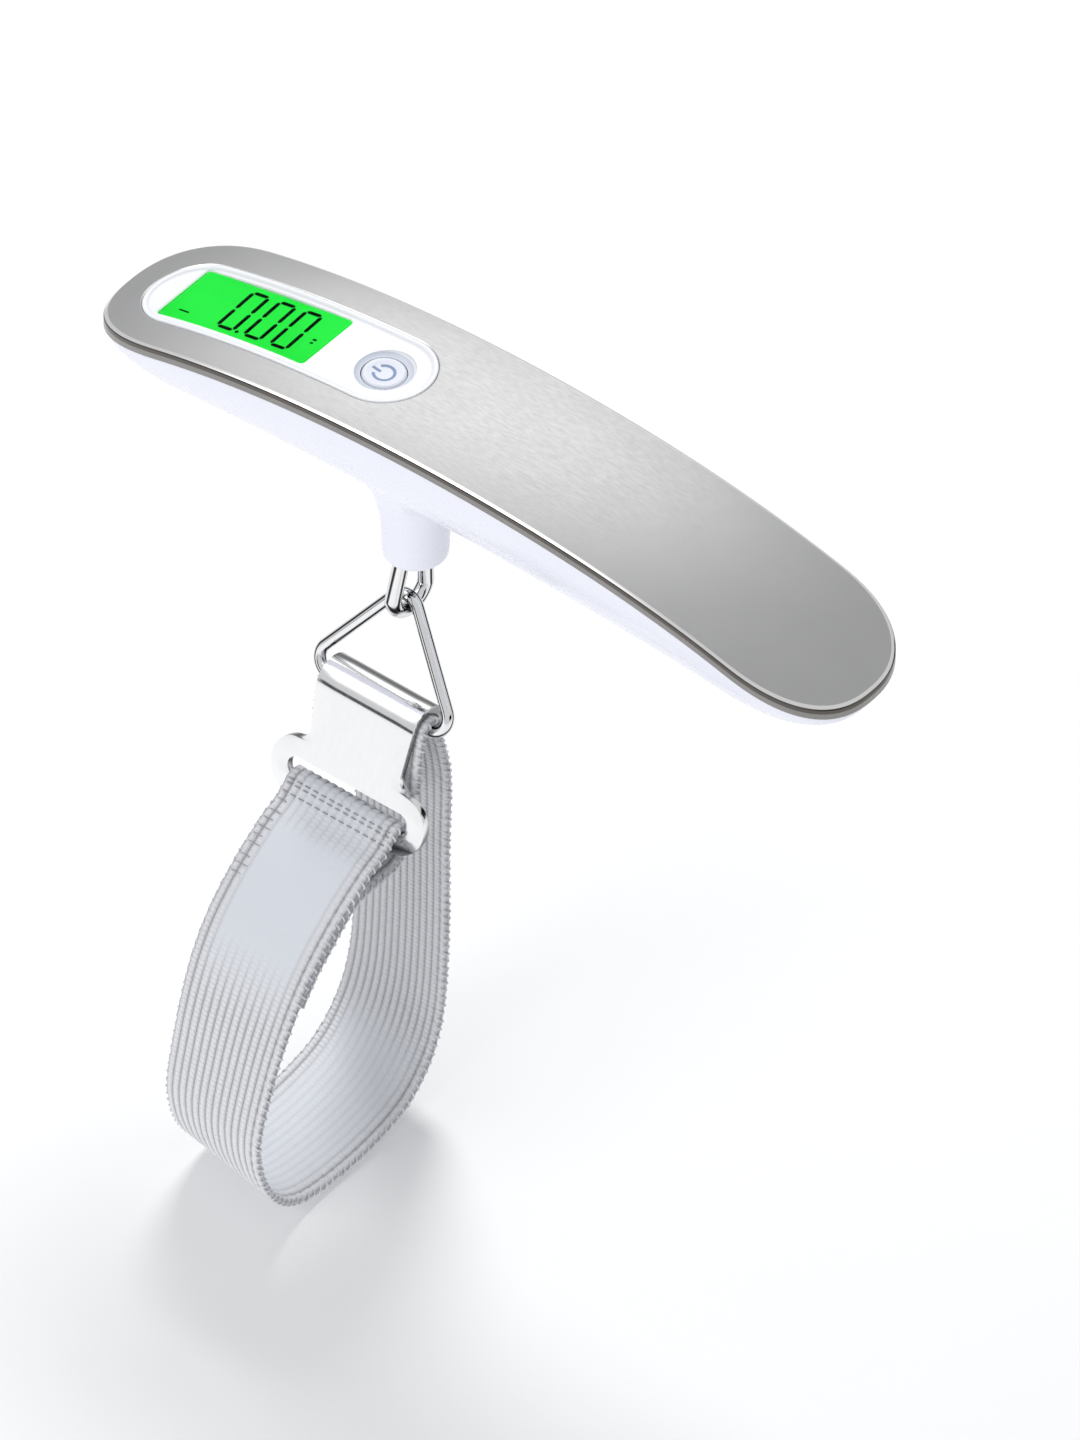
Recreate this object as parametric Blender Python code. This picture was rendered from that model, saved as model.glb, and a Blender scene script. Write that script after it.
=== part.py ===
"""Digital luggage scale: a curved hand-held body over a load cell, with an eye, a triangle, a hook plate
and a webbing loop hanging from its neck.

Frame: the origin is on the axis of the neck, level with the crown of the top plate. +X runs along the body
away from the display, +Z is up, and the loop leans towards -Y. Lengths below are in millimetres and are
turned into metres where a mesh is made.
"""

import math

import bmesh
import bpy
from mathutils import Matrix, Vector

MM = 0.001
GAP = 0.3  # clearance kept between touching pieces

# Body
BODY_LENGTH = 160.0
BODY_WIDTH = 31.4
BODY_MID_X = 17.7  # the neck is off centre, towards the display
END_LENGTH = 19.0  # length of each rounded end
END_POWER = 2.4  # superellipse exponent of the rounded ends
PLATE_BEND = 640.0  # the plate's crown is z = -x^2 / PLATE_BEND - x^4 * PLATE_BEND_4
PLATE_BEND_4 = 7.1e-8
PLATE_SHEET = 0.6
PLATE_SKIRT = 2.4
PLATE_EDGE = 0.7  # bright bevel round the plate's edge
COVER_TOP = 0.9  # depth of the upper housing's top face under the plate's face
COVER_BOTTOM = 2.4
HULL_TOP = 2.7
HULL_WALL = 1.5
HULL_FLOOR = 18.5  # depth of the underside below the crown, at mid length
HULL_DROOP = 2.6  # how much lower the underside is at the ends
# side inset, end inset and share of the depth, from rim to underside
HULL_PROFILE = (
    (0.35, 0.35, 0.0),
    (0.8, 0.9, 0.25),
    (1.8, 2.0, 0.5),
    (3.4, 3.9, 0.74),
    (5.4, 6.6, 0.91),
    (7.6, 10.0, 0.98),
    (10.0, 14.0, 1.0),
)

# Window and display
WINDOW_X = (-56.7, 2.6)
WINDOW_WIDTH = 17.8
SURROUND_RIM = 1.0
SURROUND_DEPTH = 0.45
LCD_X = (-50.0, -19.3)
LCD_WIDTH = 12.8
LCD_TILT = math.radians(11.7)
LENS_DEPTH = 1.1  # depth of the lens below the plate
LENS_THICKNESS = 0.9
GLASS_DEPTH = 3.45
GLASS_SIZE = (33.4, 14.8, 1.5)
LIGHT_GUIDE_SIZE = (33.4, 11.4, 1.5)
FRAME_WALL = 1.1
ZEBRA_SIZE = (31.0, 2.0, 1.6)

# Button and switch
BUTTON_X = -6.7
BUTTON_DIAMETER = 7.6
BUTTON_RECESS = 9.6
BUTTON_DEPTH = 0.75  # the button's face below the plate
BUTTON_HEIGHT = 1.3
BUTTON_STEM = 1.2  # radius
SWITCH_BODY = (4.6, 4.6, 1.3)
SWITCH_TRAVEL = 0.4

# Board
BOARD_X = (-47.5, -4.6)
BOARD_WIDTH = 15.2
BOARD_THICKNESS = 1.0
BOARD_DEPTH = GLASS_DEPTH + GLASS_SIZE[2] + LIGHT_GUIDE_SIZE[2] + 3 * GAP

# Load cell and hanger
CELL_X = (-6.0, 44.0)
CELL_WIDTH = 10.0
CELL_Z = (-13.6, -7.6)
CELL_HOLES = (13.0, 24.0)
CELL_HOLE_RADIUS = 2.1
CELL_SCREWS = (33.5, 40.0)
NECK_BOTTOM = -38.0
NECK_BORE = (4.2, 5.45)  # half sizes along X and Y
CLEVIS_HALF = (3.3, 2.4)  # half sizes along X and Y
CLEVIS_SLOT = 1.9  # half width of the slot for the eye
CLEVIS_Z = (-36.4, -13.9)
PIN_RADIUS = 0.85
PIN_Z = -34.2

# Eye and triangle
EYE_WIRE = 1.45  # radius
EYE_LOOP = 4.4  # centre-line radius of the round lower bend
EYE_DROP = 11.1  # from the pin to the centre of the lower bend
EYE_TOP_LOOP = 2.6
EYE_LEAN = math.radians(8.0)  # rests leaning forwards, against the neck
RING_WIRE = 1.05  # radius
RING_LEAN = math.radians(21.0)
RING_HALF_BASE = 16.6
RING_SIDE_HEIGHT = 22.9  # of the triangle before its corners are rounded
RING_APEX_BEND = 3.2
RING_CORNER_BEND = 3.0

# Hook plate
HOOK_LEAN = math.radians(15.5)
HOOK_SHEET = 1.4
HOOK_CURL_INNER = 3.0
HOOK_CURL_TURN = math.radians(168.0)
HOOK_HEAD_WIDTH = 20.8
HOOK_WAIST_WIDTH = 19.4
HOOK_WAIST_AT = 10.2
HOOK_EAR_WIDTH = 33.0
HOOK_EAR_HEIGHT = 11.6
HOOK_SLOT_AT = 16.7  # distance of the slot from the bar's axis, down the plate
HOOK_SLOT_SIZE = (25.8, 3.9)

# Strap
STRAP_WIDTH = 23.5
STRAP_THICKNESS = 1.3
STRAP_TWIST = math.radians(9.5)
STRAP_TWIST_BACK = (-68.0, -98.0)  # heights between which the back run takes up the twist
STRAP_TWIST_FRONT = (-88.0, -128.0)
STRAP_BACK_Y = -9.0  # the back run lies beyond this Y
# the webbing's centre line from behind the bar, round the bottom and up to the hook plate, as (Y, Z)
STRAP_LOOP = (
    (-6.2, -72.6),
    (-4.8, -79.0),
    (-3.9, -90.0),
    (-3.7, -104.0),
    (-4.2, -121.0),
    (-5.7, -133.5),
    (-9.7, -142.0),
    (-17.0, -147.5),
    (-30.0, -149.6),
    (-43.0, -148.0),
    (-50.4, -141.0),
    (-53.6, -130.0),
    (-51.2, -118.7),
    (-46.8, -107.5),
    (-41.5, -99.0),
    (-34.0, -91.8),
    (-26.8, -86.9),
    (-22.6, -84.9),
)
# its end, sewn on behind that front run, as (Y, Z)
STRAP_TAIL = (
    (-17.3, -88.2),
    (-19.6, -89.8),
    (-24.0, -89.9),
    (-30.2, -90.8),
    (-36.8, -96.2),
    (-40.5, -99.9),
    (-43.6, -104.5),
)
STRAP_FOLD = 12.0  # how far the sewn end in the sleeve reaches below the bar

# Battery
BATTERY_X = 61.0
BATTERY_RADIUS = 10.0
BATTERY_HEIGHT = 3.2
BATTERY_TOP = -9.9
DOOR_HALF = (12.2, 10.9)
DOOR_TOP = -15.2

# Fasteners
SCREW_X = (-54.6, 90.0)  # the two screws that close the shells
SCREW_POST = 2.4  # radius


# ---------------------------------------------------------------- helpers


def clear_scene():
    for old in list(bpy.data.objects):
        bpy.data.objects.remove(old, do_unlink=True)


def material(name, colour, roughness, metallic=0.0):
    made = bpy.data.materials.get(name)
    if made is None:
        made = bpy.data.materials.new(name)
        made.use_nodes = True
        shader = made.node_tree.nodes["Principled BSDF"]
        shader.inputs["Base Color"].default_value = (*colour, 1.0)
        shader.inputs["Roughness"].default_value = roughness
        shader.inputs["Metallic"].default_value = metallic
    return made


def steel():
    return material("satin_steel", (0.55, 0.54, 0.52), 0.32, 1.0)


def chrome():
    return material("chrome", (0.8, 0.8, 0.8), 0.08, 1.0)


def white_plastic():
    return material("white_plastic", (0.86, 0.86, 0.9), 0.28)


def black_plastic():
    return material("black_plastic", (0.02, 0.02, 0.02), 0.5)


def finish_object(name, bm, look, cutter=False):
    """Turns a bmesh whose points are in millimetres into an object."""
    bmesh.ops.recalc_face_normals(bm, faces=bm.faces)
    mesh = bpy.data.meshes.new(name)
    bmesh.ops.scale(bm, vec=(MM, MM, MM), verts=bm.verts)
    bm.to_mesh(mesh)
    bm.free()
    mesh.materials.append(look)
    mesh.shade_smooth()
    mesh.set_sharp_from_angle(angle=math.radians(35))
    made = bpy.data.objects.new(name, mesh)
    bpy.context.scene.collection.objects.link(made)
    if cutter:
        made.hide_render = True
        made.display_type = "WIRE"
    return made


def boolean(target, tool, operation):
    modifier = target.modifiers.new(f"{operation.lower()}_{tool.name}", "BOOLEAN")
    modifier.operation = operation
    modifier.solver = "EXACT"
    modifier.object = tool


def cut(target, tool):
    boolean(target, tool, "DIFFERENCE")


def unite(target, tool):
    boolean(target, tool, "UNION")


def box(name, low, high, look, cutter=False, bevel=0.0):
    bm = bmesh.new()
    size = [h - l for l, h in zip(low, high)]
    centre = [(l + h) / 2 for l, h in zip(low, high)]
    bmesh.ops.create_cube(bm, size=1.0)
    bmesh.ops.scale(bm, vec=size, verts=bm.verts)
    bmesh.ops.translate(bm, vec=centre, verts=bm.verts)
    if bevel:
        bmesh.ops.bevel(bm, geom=bm.edges[:], offset=bevel, segments=2, affect="EDGES", profile=0.5)
    return finish_object(name, bm, look, cutter)


def tilt_about_y(made, pivot, angle):
    """Turns an object in place about a line along Y, so that its +X end rises."""
    point = Vector(pivot) * MM
    made.data.transform(
        Matrix.Translation(point) @ Matrix.Rotation(-angle, 4, "Y") @ Matrix.Translation(-point)
    )


def cylinder(name, start, end, radius, sides, look, cutter=False):
    bm = bmesh.new()
    start, end = Vector(start), Vector(end)
    along = end - start
    bmesh.ops.create_cone(
        bm, cap_ends=True, segments=sides, radius1=radius, radius2=radius, depth=along.length
    )
    turn = Vector((0, 0, 1)).rotation_difference(along).to_matrix().to_4x4()
    bmesh.ops.transform(bm, matrix=Matrix.Translation((start + end) / 2) @ turn, verts=bm.verts)
    return finish_object(name, bm, look, cutter)


def turned(name, profile, sides, look, place=(0, 0, 0), cutter=False):
    """A solid of revolution about Z: profile is (radius, z) from one end of the axis to the other."""
    bm = bmesh.new()
    rings = []
    for radius, z in profile:
        if radius < 1e-6:
            rings.append([bm.verts.new((0, 0, z))])
        else:
            rings.append(
                [
                    bm.verts.new((radius * math.cos(t), radius * math.sin(t), z))
                    for t in (2 * math.pi * i / sides for i in range(sides))
                ]
            )
    for a, b in zip(rings, rings[1:]):
        for i in range(sides):
            j = (i + 1) % sides
            corners = [a[i % len(a)], a[j % len(a)], b[j % len(b)], b[i % len(b)]]
            bm.faces.new(list(dict.fromkeys(corners)))
    bmesh.ops.translate(bm, vec=place, verts=bm.verts)
    return finish_object(name, bm, look, cutter)


def loft(name, rings, look, closed=False, cutter=False):
    """Skins rings of equal length. The ends are closed with strips between mirrored points, so that a cap
    on a curved face follows it; with closed=True the last ring joins the first instead."""
    bm = bmesh.new()
    made = [[bm.verts.new(p) for p in ring] for ring in rings]
    count = len(made[0])
    pairs = list(zip(made, made[1:])) + ([(made[-1], made[0])] if closed else [])
    for a, b in pairs:
        for i in range(count):
            j = (i + 1) % count
            bm.faces.new((a[i], a[j], b[j], b[i]))
    if not closed:
        for ring in (made[0], made[-1]):
            for i in range(count // 2 - 1):
                bm.faces.new((ring[i], ring[i + 1], ring[count - 2 - i], ring[count - 1 - i]))
    return finish_object(name, bm, look, cutter)


def bezier_chain(points, steps):
    """Points on a smooth curve (Catmull-Rom) through the given ones."""
    found = []
    last = len(points) - 1
    for i in range(last):
        p0, p1, p2, p3 = (Vector(points[min(max(k, 0), last)]) for k in (i - 1, i, i + 1, i + 2))
        for s in range(steps):
            t = s / steps
            found.append(
                0.5
                * (
                    2 * p1
                    + (p2 - p0) * t
                    + (2 * p0 - 5 * p1 + 4 * p2 - p3) * t * t
                    + (3 * p1 - p0 - 3 * p2 + p3) * t * t * t
                )
            )
    found.append(Vector(points[last]))
    return found


def wire_object(name, points, radius, look, sides=2, cyclic=False):
    """A round wire along the points, as a bevelled curve. sides is the bevel resolution."""
    curve = bpy.data.curves.new(name, "CURVE")
    curve.dimensions = "3D"
    curve.bevel_depth = radius * MM
    curve.bevel_resolution = sides
    curve.use_fill_caps = True
    spline = curve.splines.new("POLY")
    spline.points.add(len(points) - 1)
    for place, point in zip(spline.points, points):
        place.co = (point[0] * MM, point[1] * MM, point[2] * MM, 1.0)
    spline.use_cyclic_u = cyclic
    curve.materials.append(look)
    made = bpy.data.objects.new(name, curve)
    bpy.context.scene.collection.objects.link(made)
    return made


def set_joint_origin(made, point):
    """Moves an object's origin to a joint's axis without moving its shape."""
    place = Vector(point) * MM
    made.data.transform(Matrix.Translation(-place))
    made.location = place


# ---------------------------------------------------------------- body shape


def crown(x):
    """Height of the plate's face at x along the body."""
    u = x - BODY_MID_X
    return -u * u / PLATE_BEND - PLATE_BEND_4 * u**4


def floor_height(x):
    """Height of the lower shell's underside at x."""
    u = (x - BODY_MID_X) / (BODY_LENGTH / 2)
    return -HULL_FLOOR - HULL_DROOP * u * u


def plan_chain(side_inset, end_inset, middle_steps=22):
    """Points of the body's plan outline on its +Y side, from the -X end to the +X end."""
    half = BODY_LENGTH / 2 - end_inset
    width = BODY_WIDTH / 2 - side_inset
    power = 2 / END_POWER
    end = []
    for degrees in (4, 15, 27, 39, 51, 63, 76):
        angle = math.radians(degrees)
        end.append(
            (half - END_LENGTH + END_LENGTH * math.cos(angle) ** power, width * math.sin(angle) ** power)
        )
    straight = half - END_LENGTH
    middle = [
        (-straight + 2 * straight * i / middle_steps, width) for i in range(middle_steps + 1)
    ]
    return (
        [(BODY_MID_X - x, y) for x, y in end]
        + [(BODY_MID_X + x, y) for x, y in middle]
        + [(BODY_MID_X + x, y) for x, y in reversed(end)]
    )


def plan_ring(side_inset, end_inset, height):
    """A closed ring of the plan outline, raised to height(x)."""
    chain = plan_chain(side_inset, end_inset)
    return [(x, y, height(x)) for x, y in chain] + [(x, -y, height(x)) for x, y in reversed(chain)]


def stadium_ring(low_x, high_x, width, height, bend_steps=9):
    """A closed ring with round ends, raised to height(x)."""
    radius = width / 2
    chain = []
    for i in range(bend_steps):
        angle = math.pi / 2 * (i + 0.35) / bend_steps
        chain.append((low_x + radius - radius * math.cos(angle), radius * math.sin(angle)))
    steps = 8
    for i in range(steps + 1):
        chain.append((low_x + radius + (high_x - low_x - width) * i / steps, radius))
    for i in reversed(range(bend_steps)):
        angle = math.pi / 2 * (i + 0.35) / bend_steps
        chain.append((high_x - radius + radius * math.cos(angle), radius * math.sin(angle)))
    return [(x, y, height(x)) for x, y in chain] + [(x, -y, height(x)) for x, y in reversed(chain)]


def under_crown(depth):
    return lambda x: crown(x) - depth


def flat(z):
    return lambda x: z


def make_top_plate():
    plate = loft(
        "top_plate",
        [
            plan_ring(PLATE_EDGE, PLATE_EDGE, under_crown(0.0)),
            plan_ring(0.15, 0.15, under_crown(0.25)),
            plan_ring(0.0, 0.0, under_crown(0.6)),
            plan_ring(0.0, 0.0, under_crown(PLATE_SKIRT)),
            plan_ring(PLATE_SHEET, PLATE_SHEET, under_crown(PLATE_SKIRT)),
            plan_ring(PLATE_SHEET, PLATE_SHEET, under_crown(PLATE_SHEET)),
        ],
        steel(),
    )
    window = loft(
        "cutter_plate_window",
        [stadium_ring(*WINDOW_X, WINDOW_WIDTH, flat(5.0)), stadium_ring(*WINDOW_X, WINDOW_WIDTH, flat(-20.0))],
        steel(),
        cutter=True,
    )
    cut(plate, window)


def make_upper_housing():
    inset = PLATE_SHEET + GAP
    cover = loft(
        "upper_housing",
        [
            plan_ring(inset, inset, under_crown(COVER_TOP)),
            plan_ring(inset, inset, under_crown(COVER_BOTTOM)),
        ],
        white_plastic(),
    )
    low, high = WINDOW_X[0] + GAP, WINDOW_X[1] - GAP
    width = WINDOW_WIDTH - 2 * GAP
    surround = loft(
        "block_surround",
        [
            stadium_ring(low, high, width, under_crown(COVER_BOTTOM - 0.3)),
            stadium_ring(low, high, width, under_crown(0.15)),
            stadium_ring(low + 0.2, high - 0.2, width - 0.4, under_crown(0.0)),
            stadium_ring(low + SURROUND_RIM, high - SURROUND_RIM, width - 2 * SURROUND_RIM, under_crown(0.0)),
            stadium_ring(
                low + SURROUND_RIM + 0.3,
                high - SURROUND_RIM - 0.3,
                width - 2 * SURROUND_RIM - 0.6,
                under_crown(SURROUND_DEPTH),
            ),
        ],
        white_plastic(),
        cutter=True,
    )
    unite(cover, surround)
    lcd_opening = box(
        "cutter_lcd_opening",
        (LCD_X[0], -LCD_WIDTH / 2, -20.0),
        (LCD_X[1], LCD_WIDTH / 2, 5.0),
        white_plastic(),
        cutter=True,
    )
    cut(cover, lcd_opening)
    top = crown(BUTTON_X)
    recess = turned(
        "cutter_button_recess",
        (
            (0.0, top - COVER_BOTTOM - 2.0),
            (BUTTON_DIAMETER / 2 + GAP, top - COVER_BOTTOM - 2.0),
            (BUTTON_DIAMETER / 2 + GAP, top - 1.3),
            (BUTTON_RECESS / 2, top - 0.42),
            (BUTTON_RECESS / 2, top + 2.0),
            (0.0, top + 2.0),
        ),
        32,
        white_plastic(),
        place=(BUTTON_X, 0, 0),
        cutter=True,
    )
    cut(cover, recess)
    for index, x in enumerate(SCREW_X, 1):
        hole = cylinder(
            f"cutter_cover_screw_{index}", (x, 0, -30), (x, 0, crown(x) - 1.4), 1.3, 12, white_plastic(), True
        )
        cut(cover, hole)


def hull_rings():
    """Rings of the lower shell: up the outside from the underside, then down the inside to its floor."""

    def outer(share):
        return lambda x: (1 - share) * (crown(x) - HULL_TOP) + share * floor_height(x)

    def inner(share):
        return lambda x: (1 - share) * (crown(x) - HULL_TOP) + share * (floor_height(x) + HULL_WALL)

    rings = [plan_ring(side, end, outer(share)) for side, end, share in reversed(HULL_PROFILE)]
    rings += [plan_ring(side + HULL_WALL, end + HULL_WALL, inner(share)) for side, end, share in HULL_PROFILE]
    return rings


def neck_ring(z, towards_display, away, side, fullness, count=32):
    """A superellipse round the neck whose reach differs along -X, +X and Y."""
    points = []
    for i in range(count):
        angle = 2 * math.pi * (i + 0.5) / count
        c, s = math.cos(angle), math.sin(angle)
        along = away if c > 0 else towards_display
        x = math.copysign(abs(c) ** (2 / fullness), c) * along
        points.append((x, math.copysign(abs(s) ** (2 / fullness), s) * side, z))
    # start at the -X end of the +Y side, as the caps expect
    upper = sorted((p for p in points if p[1] > 0), key=lambda p: p[0])
    lower = sorted((p for p in points if p[1] < 0), key=lambda p: -p[0])
    return upper + lower


def make_neck():
    return loft(
        "block_neck",
        [
            neck_ring(NECK_BOTTOM, 5.2, 5.2, 5.35, 2.0),
            neck_ring(NECK_BOTTOM + 0.5, 5.7, 5.7, 5.75, 2.0),
            neck_ring(-33.0, 5.85, 5.85, 5.85, 2.0),
            neck_ring(-30.0, 6.1, 5.95, 5.95, 2.0),
            neck_ring(-27.5, 6.7, 6.1, 6.1, 2.1),
            neck_ring(-25.0, 7.7, 6.4, 6.3, 2.25),
            neck_ring(-22.8, 9.4, 7.0, 6.8, 2.5),
            neck_ring(-20.8, 12.0, 8.0, 7.5, 2.8),
            neck_ring(-19.2, 16.0, 10.0, 8.2, 3.2),
            neck_ring(-17.6, 24.0, 15.0, 8.6, 3.6),
        ],
        white_plastic(),
        cutter=True,
    )


def make_lower_housing():
    hull = loft("lower_housing", hull_rings(), white_plastic())
    unite(hull, make_neck())
    boss = box(
        "block_load_cell_boss",
        (29.5, -5.0, -18.0),
        (CELL_X[1], 5.0, CELL_Z[0] - GAP),
        white_plastic(),
        cutter=True,
    )
    unite(hull, boss)
    for index, x in enumerate(SCREW_X, 1):
        outer_x = x + math.copysign(SCREW_POST, x)
        post = cylinder(
            f"block_screw_post_{index}",
            (x, 0, floor_height(x) + 1.2),
            (x, 0, crown(outer_x) - COVER_BOTTOM - GAP),
            SCREW_POST,
            16,
            white_plastic(),
            True,
        )
        unite(hull, post)
    bore = loft(
        "cutter_neck_bore",
        [
            neck_ring(NECK_BOTTOM - 3.0, NECK_BORE[0], NECK_BORE[0], NECK_BORE[1], 2.0, 24),
            neck_ring(-14.5, NECK_BORE[0], NECK_BORE[0], NECK_BORE[1], 2.0, 24),
        ],
        white_plastic(),
        cutter=True,
    )
    cut(hull, bore)
    for index, x in enumerate(SCREW_X, 1):
        head_seat = floor_height(x) + 3.0
        hole = turned(
            f"cutter_screw_hole_{index}",
            ((0, -30), (2.3, -30), (2.3, head_seat), (1.3, head_seat), (1.3, 0), (0, 0)),
            16,
            white_plastic(),
            place=(x, 0, 0),
            cutter=True,
        )
        cut(hull, hole)
    for index, x in enumerate(CELL_SCREWS, 1):
        hole = cylinder(
            f"cutter_boss_hole_{index}", (x, 0, -17.6), (x, 0, -13.0), 1.5, 12, white_plastic(), True
        )
        cut(hull, hole)
    door_gap = box(
        "cutter_door_opening",
        (BATTERY_X - DOOR_HALF[0], -DOOR_HALF[1], -40.0),
        (BATTERY_X + DOOR_HALF[0], DOOR_HALF[1], DOOR_TOP),
        white_plastic(),
        cutter=True,
    )
    cut(hull, door_gap)


def make_battery_door():
    door = loft("battery_door", hull_rings(), white_plastic())
    keep = box(
        "block_door_shape",
        (BATTERY_X - DOOR_HALF[0] + GAP, -DOOR_HALF[1] + GAP, -40.0),
        (BATTERY_X + DOOR_HALF[0] - GAP, DOOR_HALF[1] - GAP, DOOR_TOP - GAP),
        white_plastic(),
        cutter=True,
    )
    boolean(door, keep, "INTERSECT")


# ---------------------------------------------------------------- display, board and button


DISPLAY_MIDDLE = (LCD_X[0] + LCD_X[1]) / 2


def under_display(name, x_range, y_range, depth, thickness, look, cutter=False, bevel=0.0):
    """A box square to the display, which tilts with the plate there. depth is its upper face's depth."""
    top = crown(DISPLAY_MIDDLE)
    made = box(
        name,
        (x_range[0], y_range[0], top - depth - thickness),
        (x_range[1], y_range[1], top - depth),
        look,
        cutter,
        bevel,
    )
    tilt_about_y(made, (DISPLAY_MIDDLE, 0, top), LCD_TILT)
    return made


def make_display():
    clear = material("clear_plastic", (0.9, 0.95, 0.92), 0.1)
    half = LCD_WIDTH / 2 - GAP
    under_display(
        "display_lens", (LCD_X[0] + 0.5, LCD_X[1] - 0.3), (-half, half), LENS_DEPTH, LENS_THICKNESS, clear
    )
    long, wide, thick = GLASS_SIZE
    low, high = DISPLAY_MIDDLE - long / 2, DISPLAY_MIDDLE + long / 2
    lit = material("lcd", (0.02, 0.8, 0.06), 0.2)
    under_display("lcd_glass", (low, high), (-wide / 2, wide / 2), GLASS_DEPTH, thick, lit)
    light_depth = GLASS_DEPTH + thick + GAP
    guide = material("light_guide", (0.7, 0.95, 0.7), 0.3)
    guide_low = wide / 2 - LIGHT_GUIDE_SIZE[1]
    under_display(
        "lcd_backlight", (low, high), (guide_low, wide / 2), light_depth, LIGHT_GUIDE_SIZE[2], guide
    )
    elastomer = material("elastomer", (0.6, 0.15, 0.3), 0.7)
    zebra_x = (DISPLAY_MIDDLE - ZEBRA_SIZE[0] / 2, DISPLAY_MIDDLE + ZEBRA_SIZE[0] / 2)
    zebra_y = (guide_low - 0.6 - ZEBRA_SIZE[1], guide_low - 0.6)
    under_display("zebra_connector", zebra_x, zebra_y, light_depth, ZEBRA_SIZE[2], elastomer)
    edge = GAP + FRAME_WALL
    frame_height = thick + GAP + LIGHT_GUIDE_SIZE[2] - 0.1
    holder = under_display(
        "lcd_frame",
        (low - edge, high + edge),
        (-wide / 2 - edge, wide / 2 + edge),
        GLASS_DEPTH,
        frame_height,
        black_plastic(),
    )
    inside = under_display(
        "cutter_lcd_frame",
        (low - GAP, high + GAP),
        (-wide / 2 - GAP, wide / 2 + GAP),
        GLASS_DEPTH - 3.0,
        frame_height + 6.0,
        black_plastic(),
        cutter=True,
    )
    cut(holder, inside)


def board_top(x):
    """Height of the board's upper face at x."""
    rise = (x - DISPLAY_MIDDLE) * math.tan(LCD_TILT)
    return crown(DISPLAY_MIDDLE) + rise - BOARD_DEPTH / math.cos(LCD_TILT)


def make_board():
    half = BOARD_WIDTH / 2
    board = material("board", (0.02, 0.22, 0.07), 0.45)
    under_display("main_pcb", BOARD_X, (-half, half), BOARD_DEPTH, BOARD_THICKNESS, board)
    below = BOARD_DEPTH + BOARD_THICKNESS + GAP
    under_display("control_chip", (-36.0, -27.0), (-4.5, 4.5), below, 1.2, black_plastic(), bevel=0.4)
    under_display("clock_crystal", (-43.5, -38.5), (2.0, 4.0), below, 1.5, chrome(), bevel=0.3)
    led = material("led", (0.6, 0.95, 0.6), 0.3)
    led_x = DISPLAY_MIDDLE + GLASS_SIZE[0] / 2 + 2 * GAP + FRAME_WALL
    under_display("backlight_led", (led_x, led_x + 1.6), (0.0, 3.2), BOARD_DEPTH - GAP - 1.4, 1.4, led)


def make_button_and_switch():
    top = crown(BUTTON_X) - BUTTON_DEPTH
    radius = BUTTON_DIAMETER / 2
    base = board_top(BUTTON_X) + 0.85
    switch_top = base + SWITCH_BODY[2]
    plunger_top = switch_top + 0.75
    button = turned(
        "power_button",
        (
            (0.0, top - 0.25),
            (radius * 0.62, top - 0.2),
            (radius - 0.35, top),
            (radius, top - 0.35),
            (radius, top - BUTTON_HEIGHT),
            (BUTTON_STEM, top - BUTTON_HEIGHT),
            (BUTTON_STEM, plunger_top + GAP),
            (0.0, plunger_top + GAP),
        ),
        28,
        white_plastic(),
    )
    button.location = (BUTTON_X * MM, 0, 0)
    long, wide, tall = SWITCH_BODY
    body = box(
        "tact_switch_body",
        (BUTTON_X - long / 2, -wide / 2, base),
        (BUTTON_X + long / 2, wide / 2, switch_top),
        black_plastic(),
    )
    hole = cylinder(
        "cutter_switch", (BUTTON_X, 0, base + 0.35), (BUTTON_X, 0, switch_top + 2), 1.3, 14, black_plastic(), True
    )
    cut(body, hole)
    cylinder(
        "tact_switch_plunger",
        (BUTTON_X, 0, base + 0.35 + SWITCH_TRAVEL + 0.15),
        (BUTTON_X, 0, plunger_top),
        1.0,
        14,
        material("switch_plunger", (0.5, 0.08, 0.05), 0.5),
    )


# ---------------------------------------------------------------- load cell and hanger


def screw(name, x, head_low, head_high, tip, shank_radius, head_radius, look):
    """A screw along Z at (x, 0). The head lies between head_low and head_high."""
    shank_from = head_low if tip < head_low else head_high
    head_from = head_high if tip < head_low else head_low
    return turned(
        name,
        (
            (0.0, head_from),
            (head_radius * 0.8, head_from),
            (head_radius, (head_low + head_high) / 2),
            (head_radius, shank_from),
            (shank_radius, shank_from),
            (shank_radius, tip + (0.5 if tip < head_low else -0.5)),
            (shank_radius * 0.5, tip),
            (0.0, tip),
        ),
        14,
        look,
        place=(x, 0, 0),
    )


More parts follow.
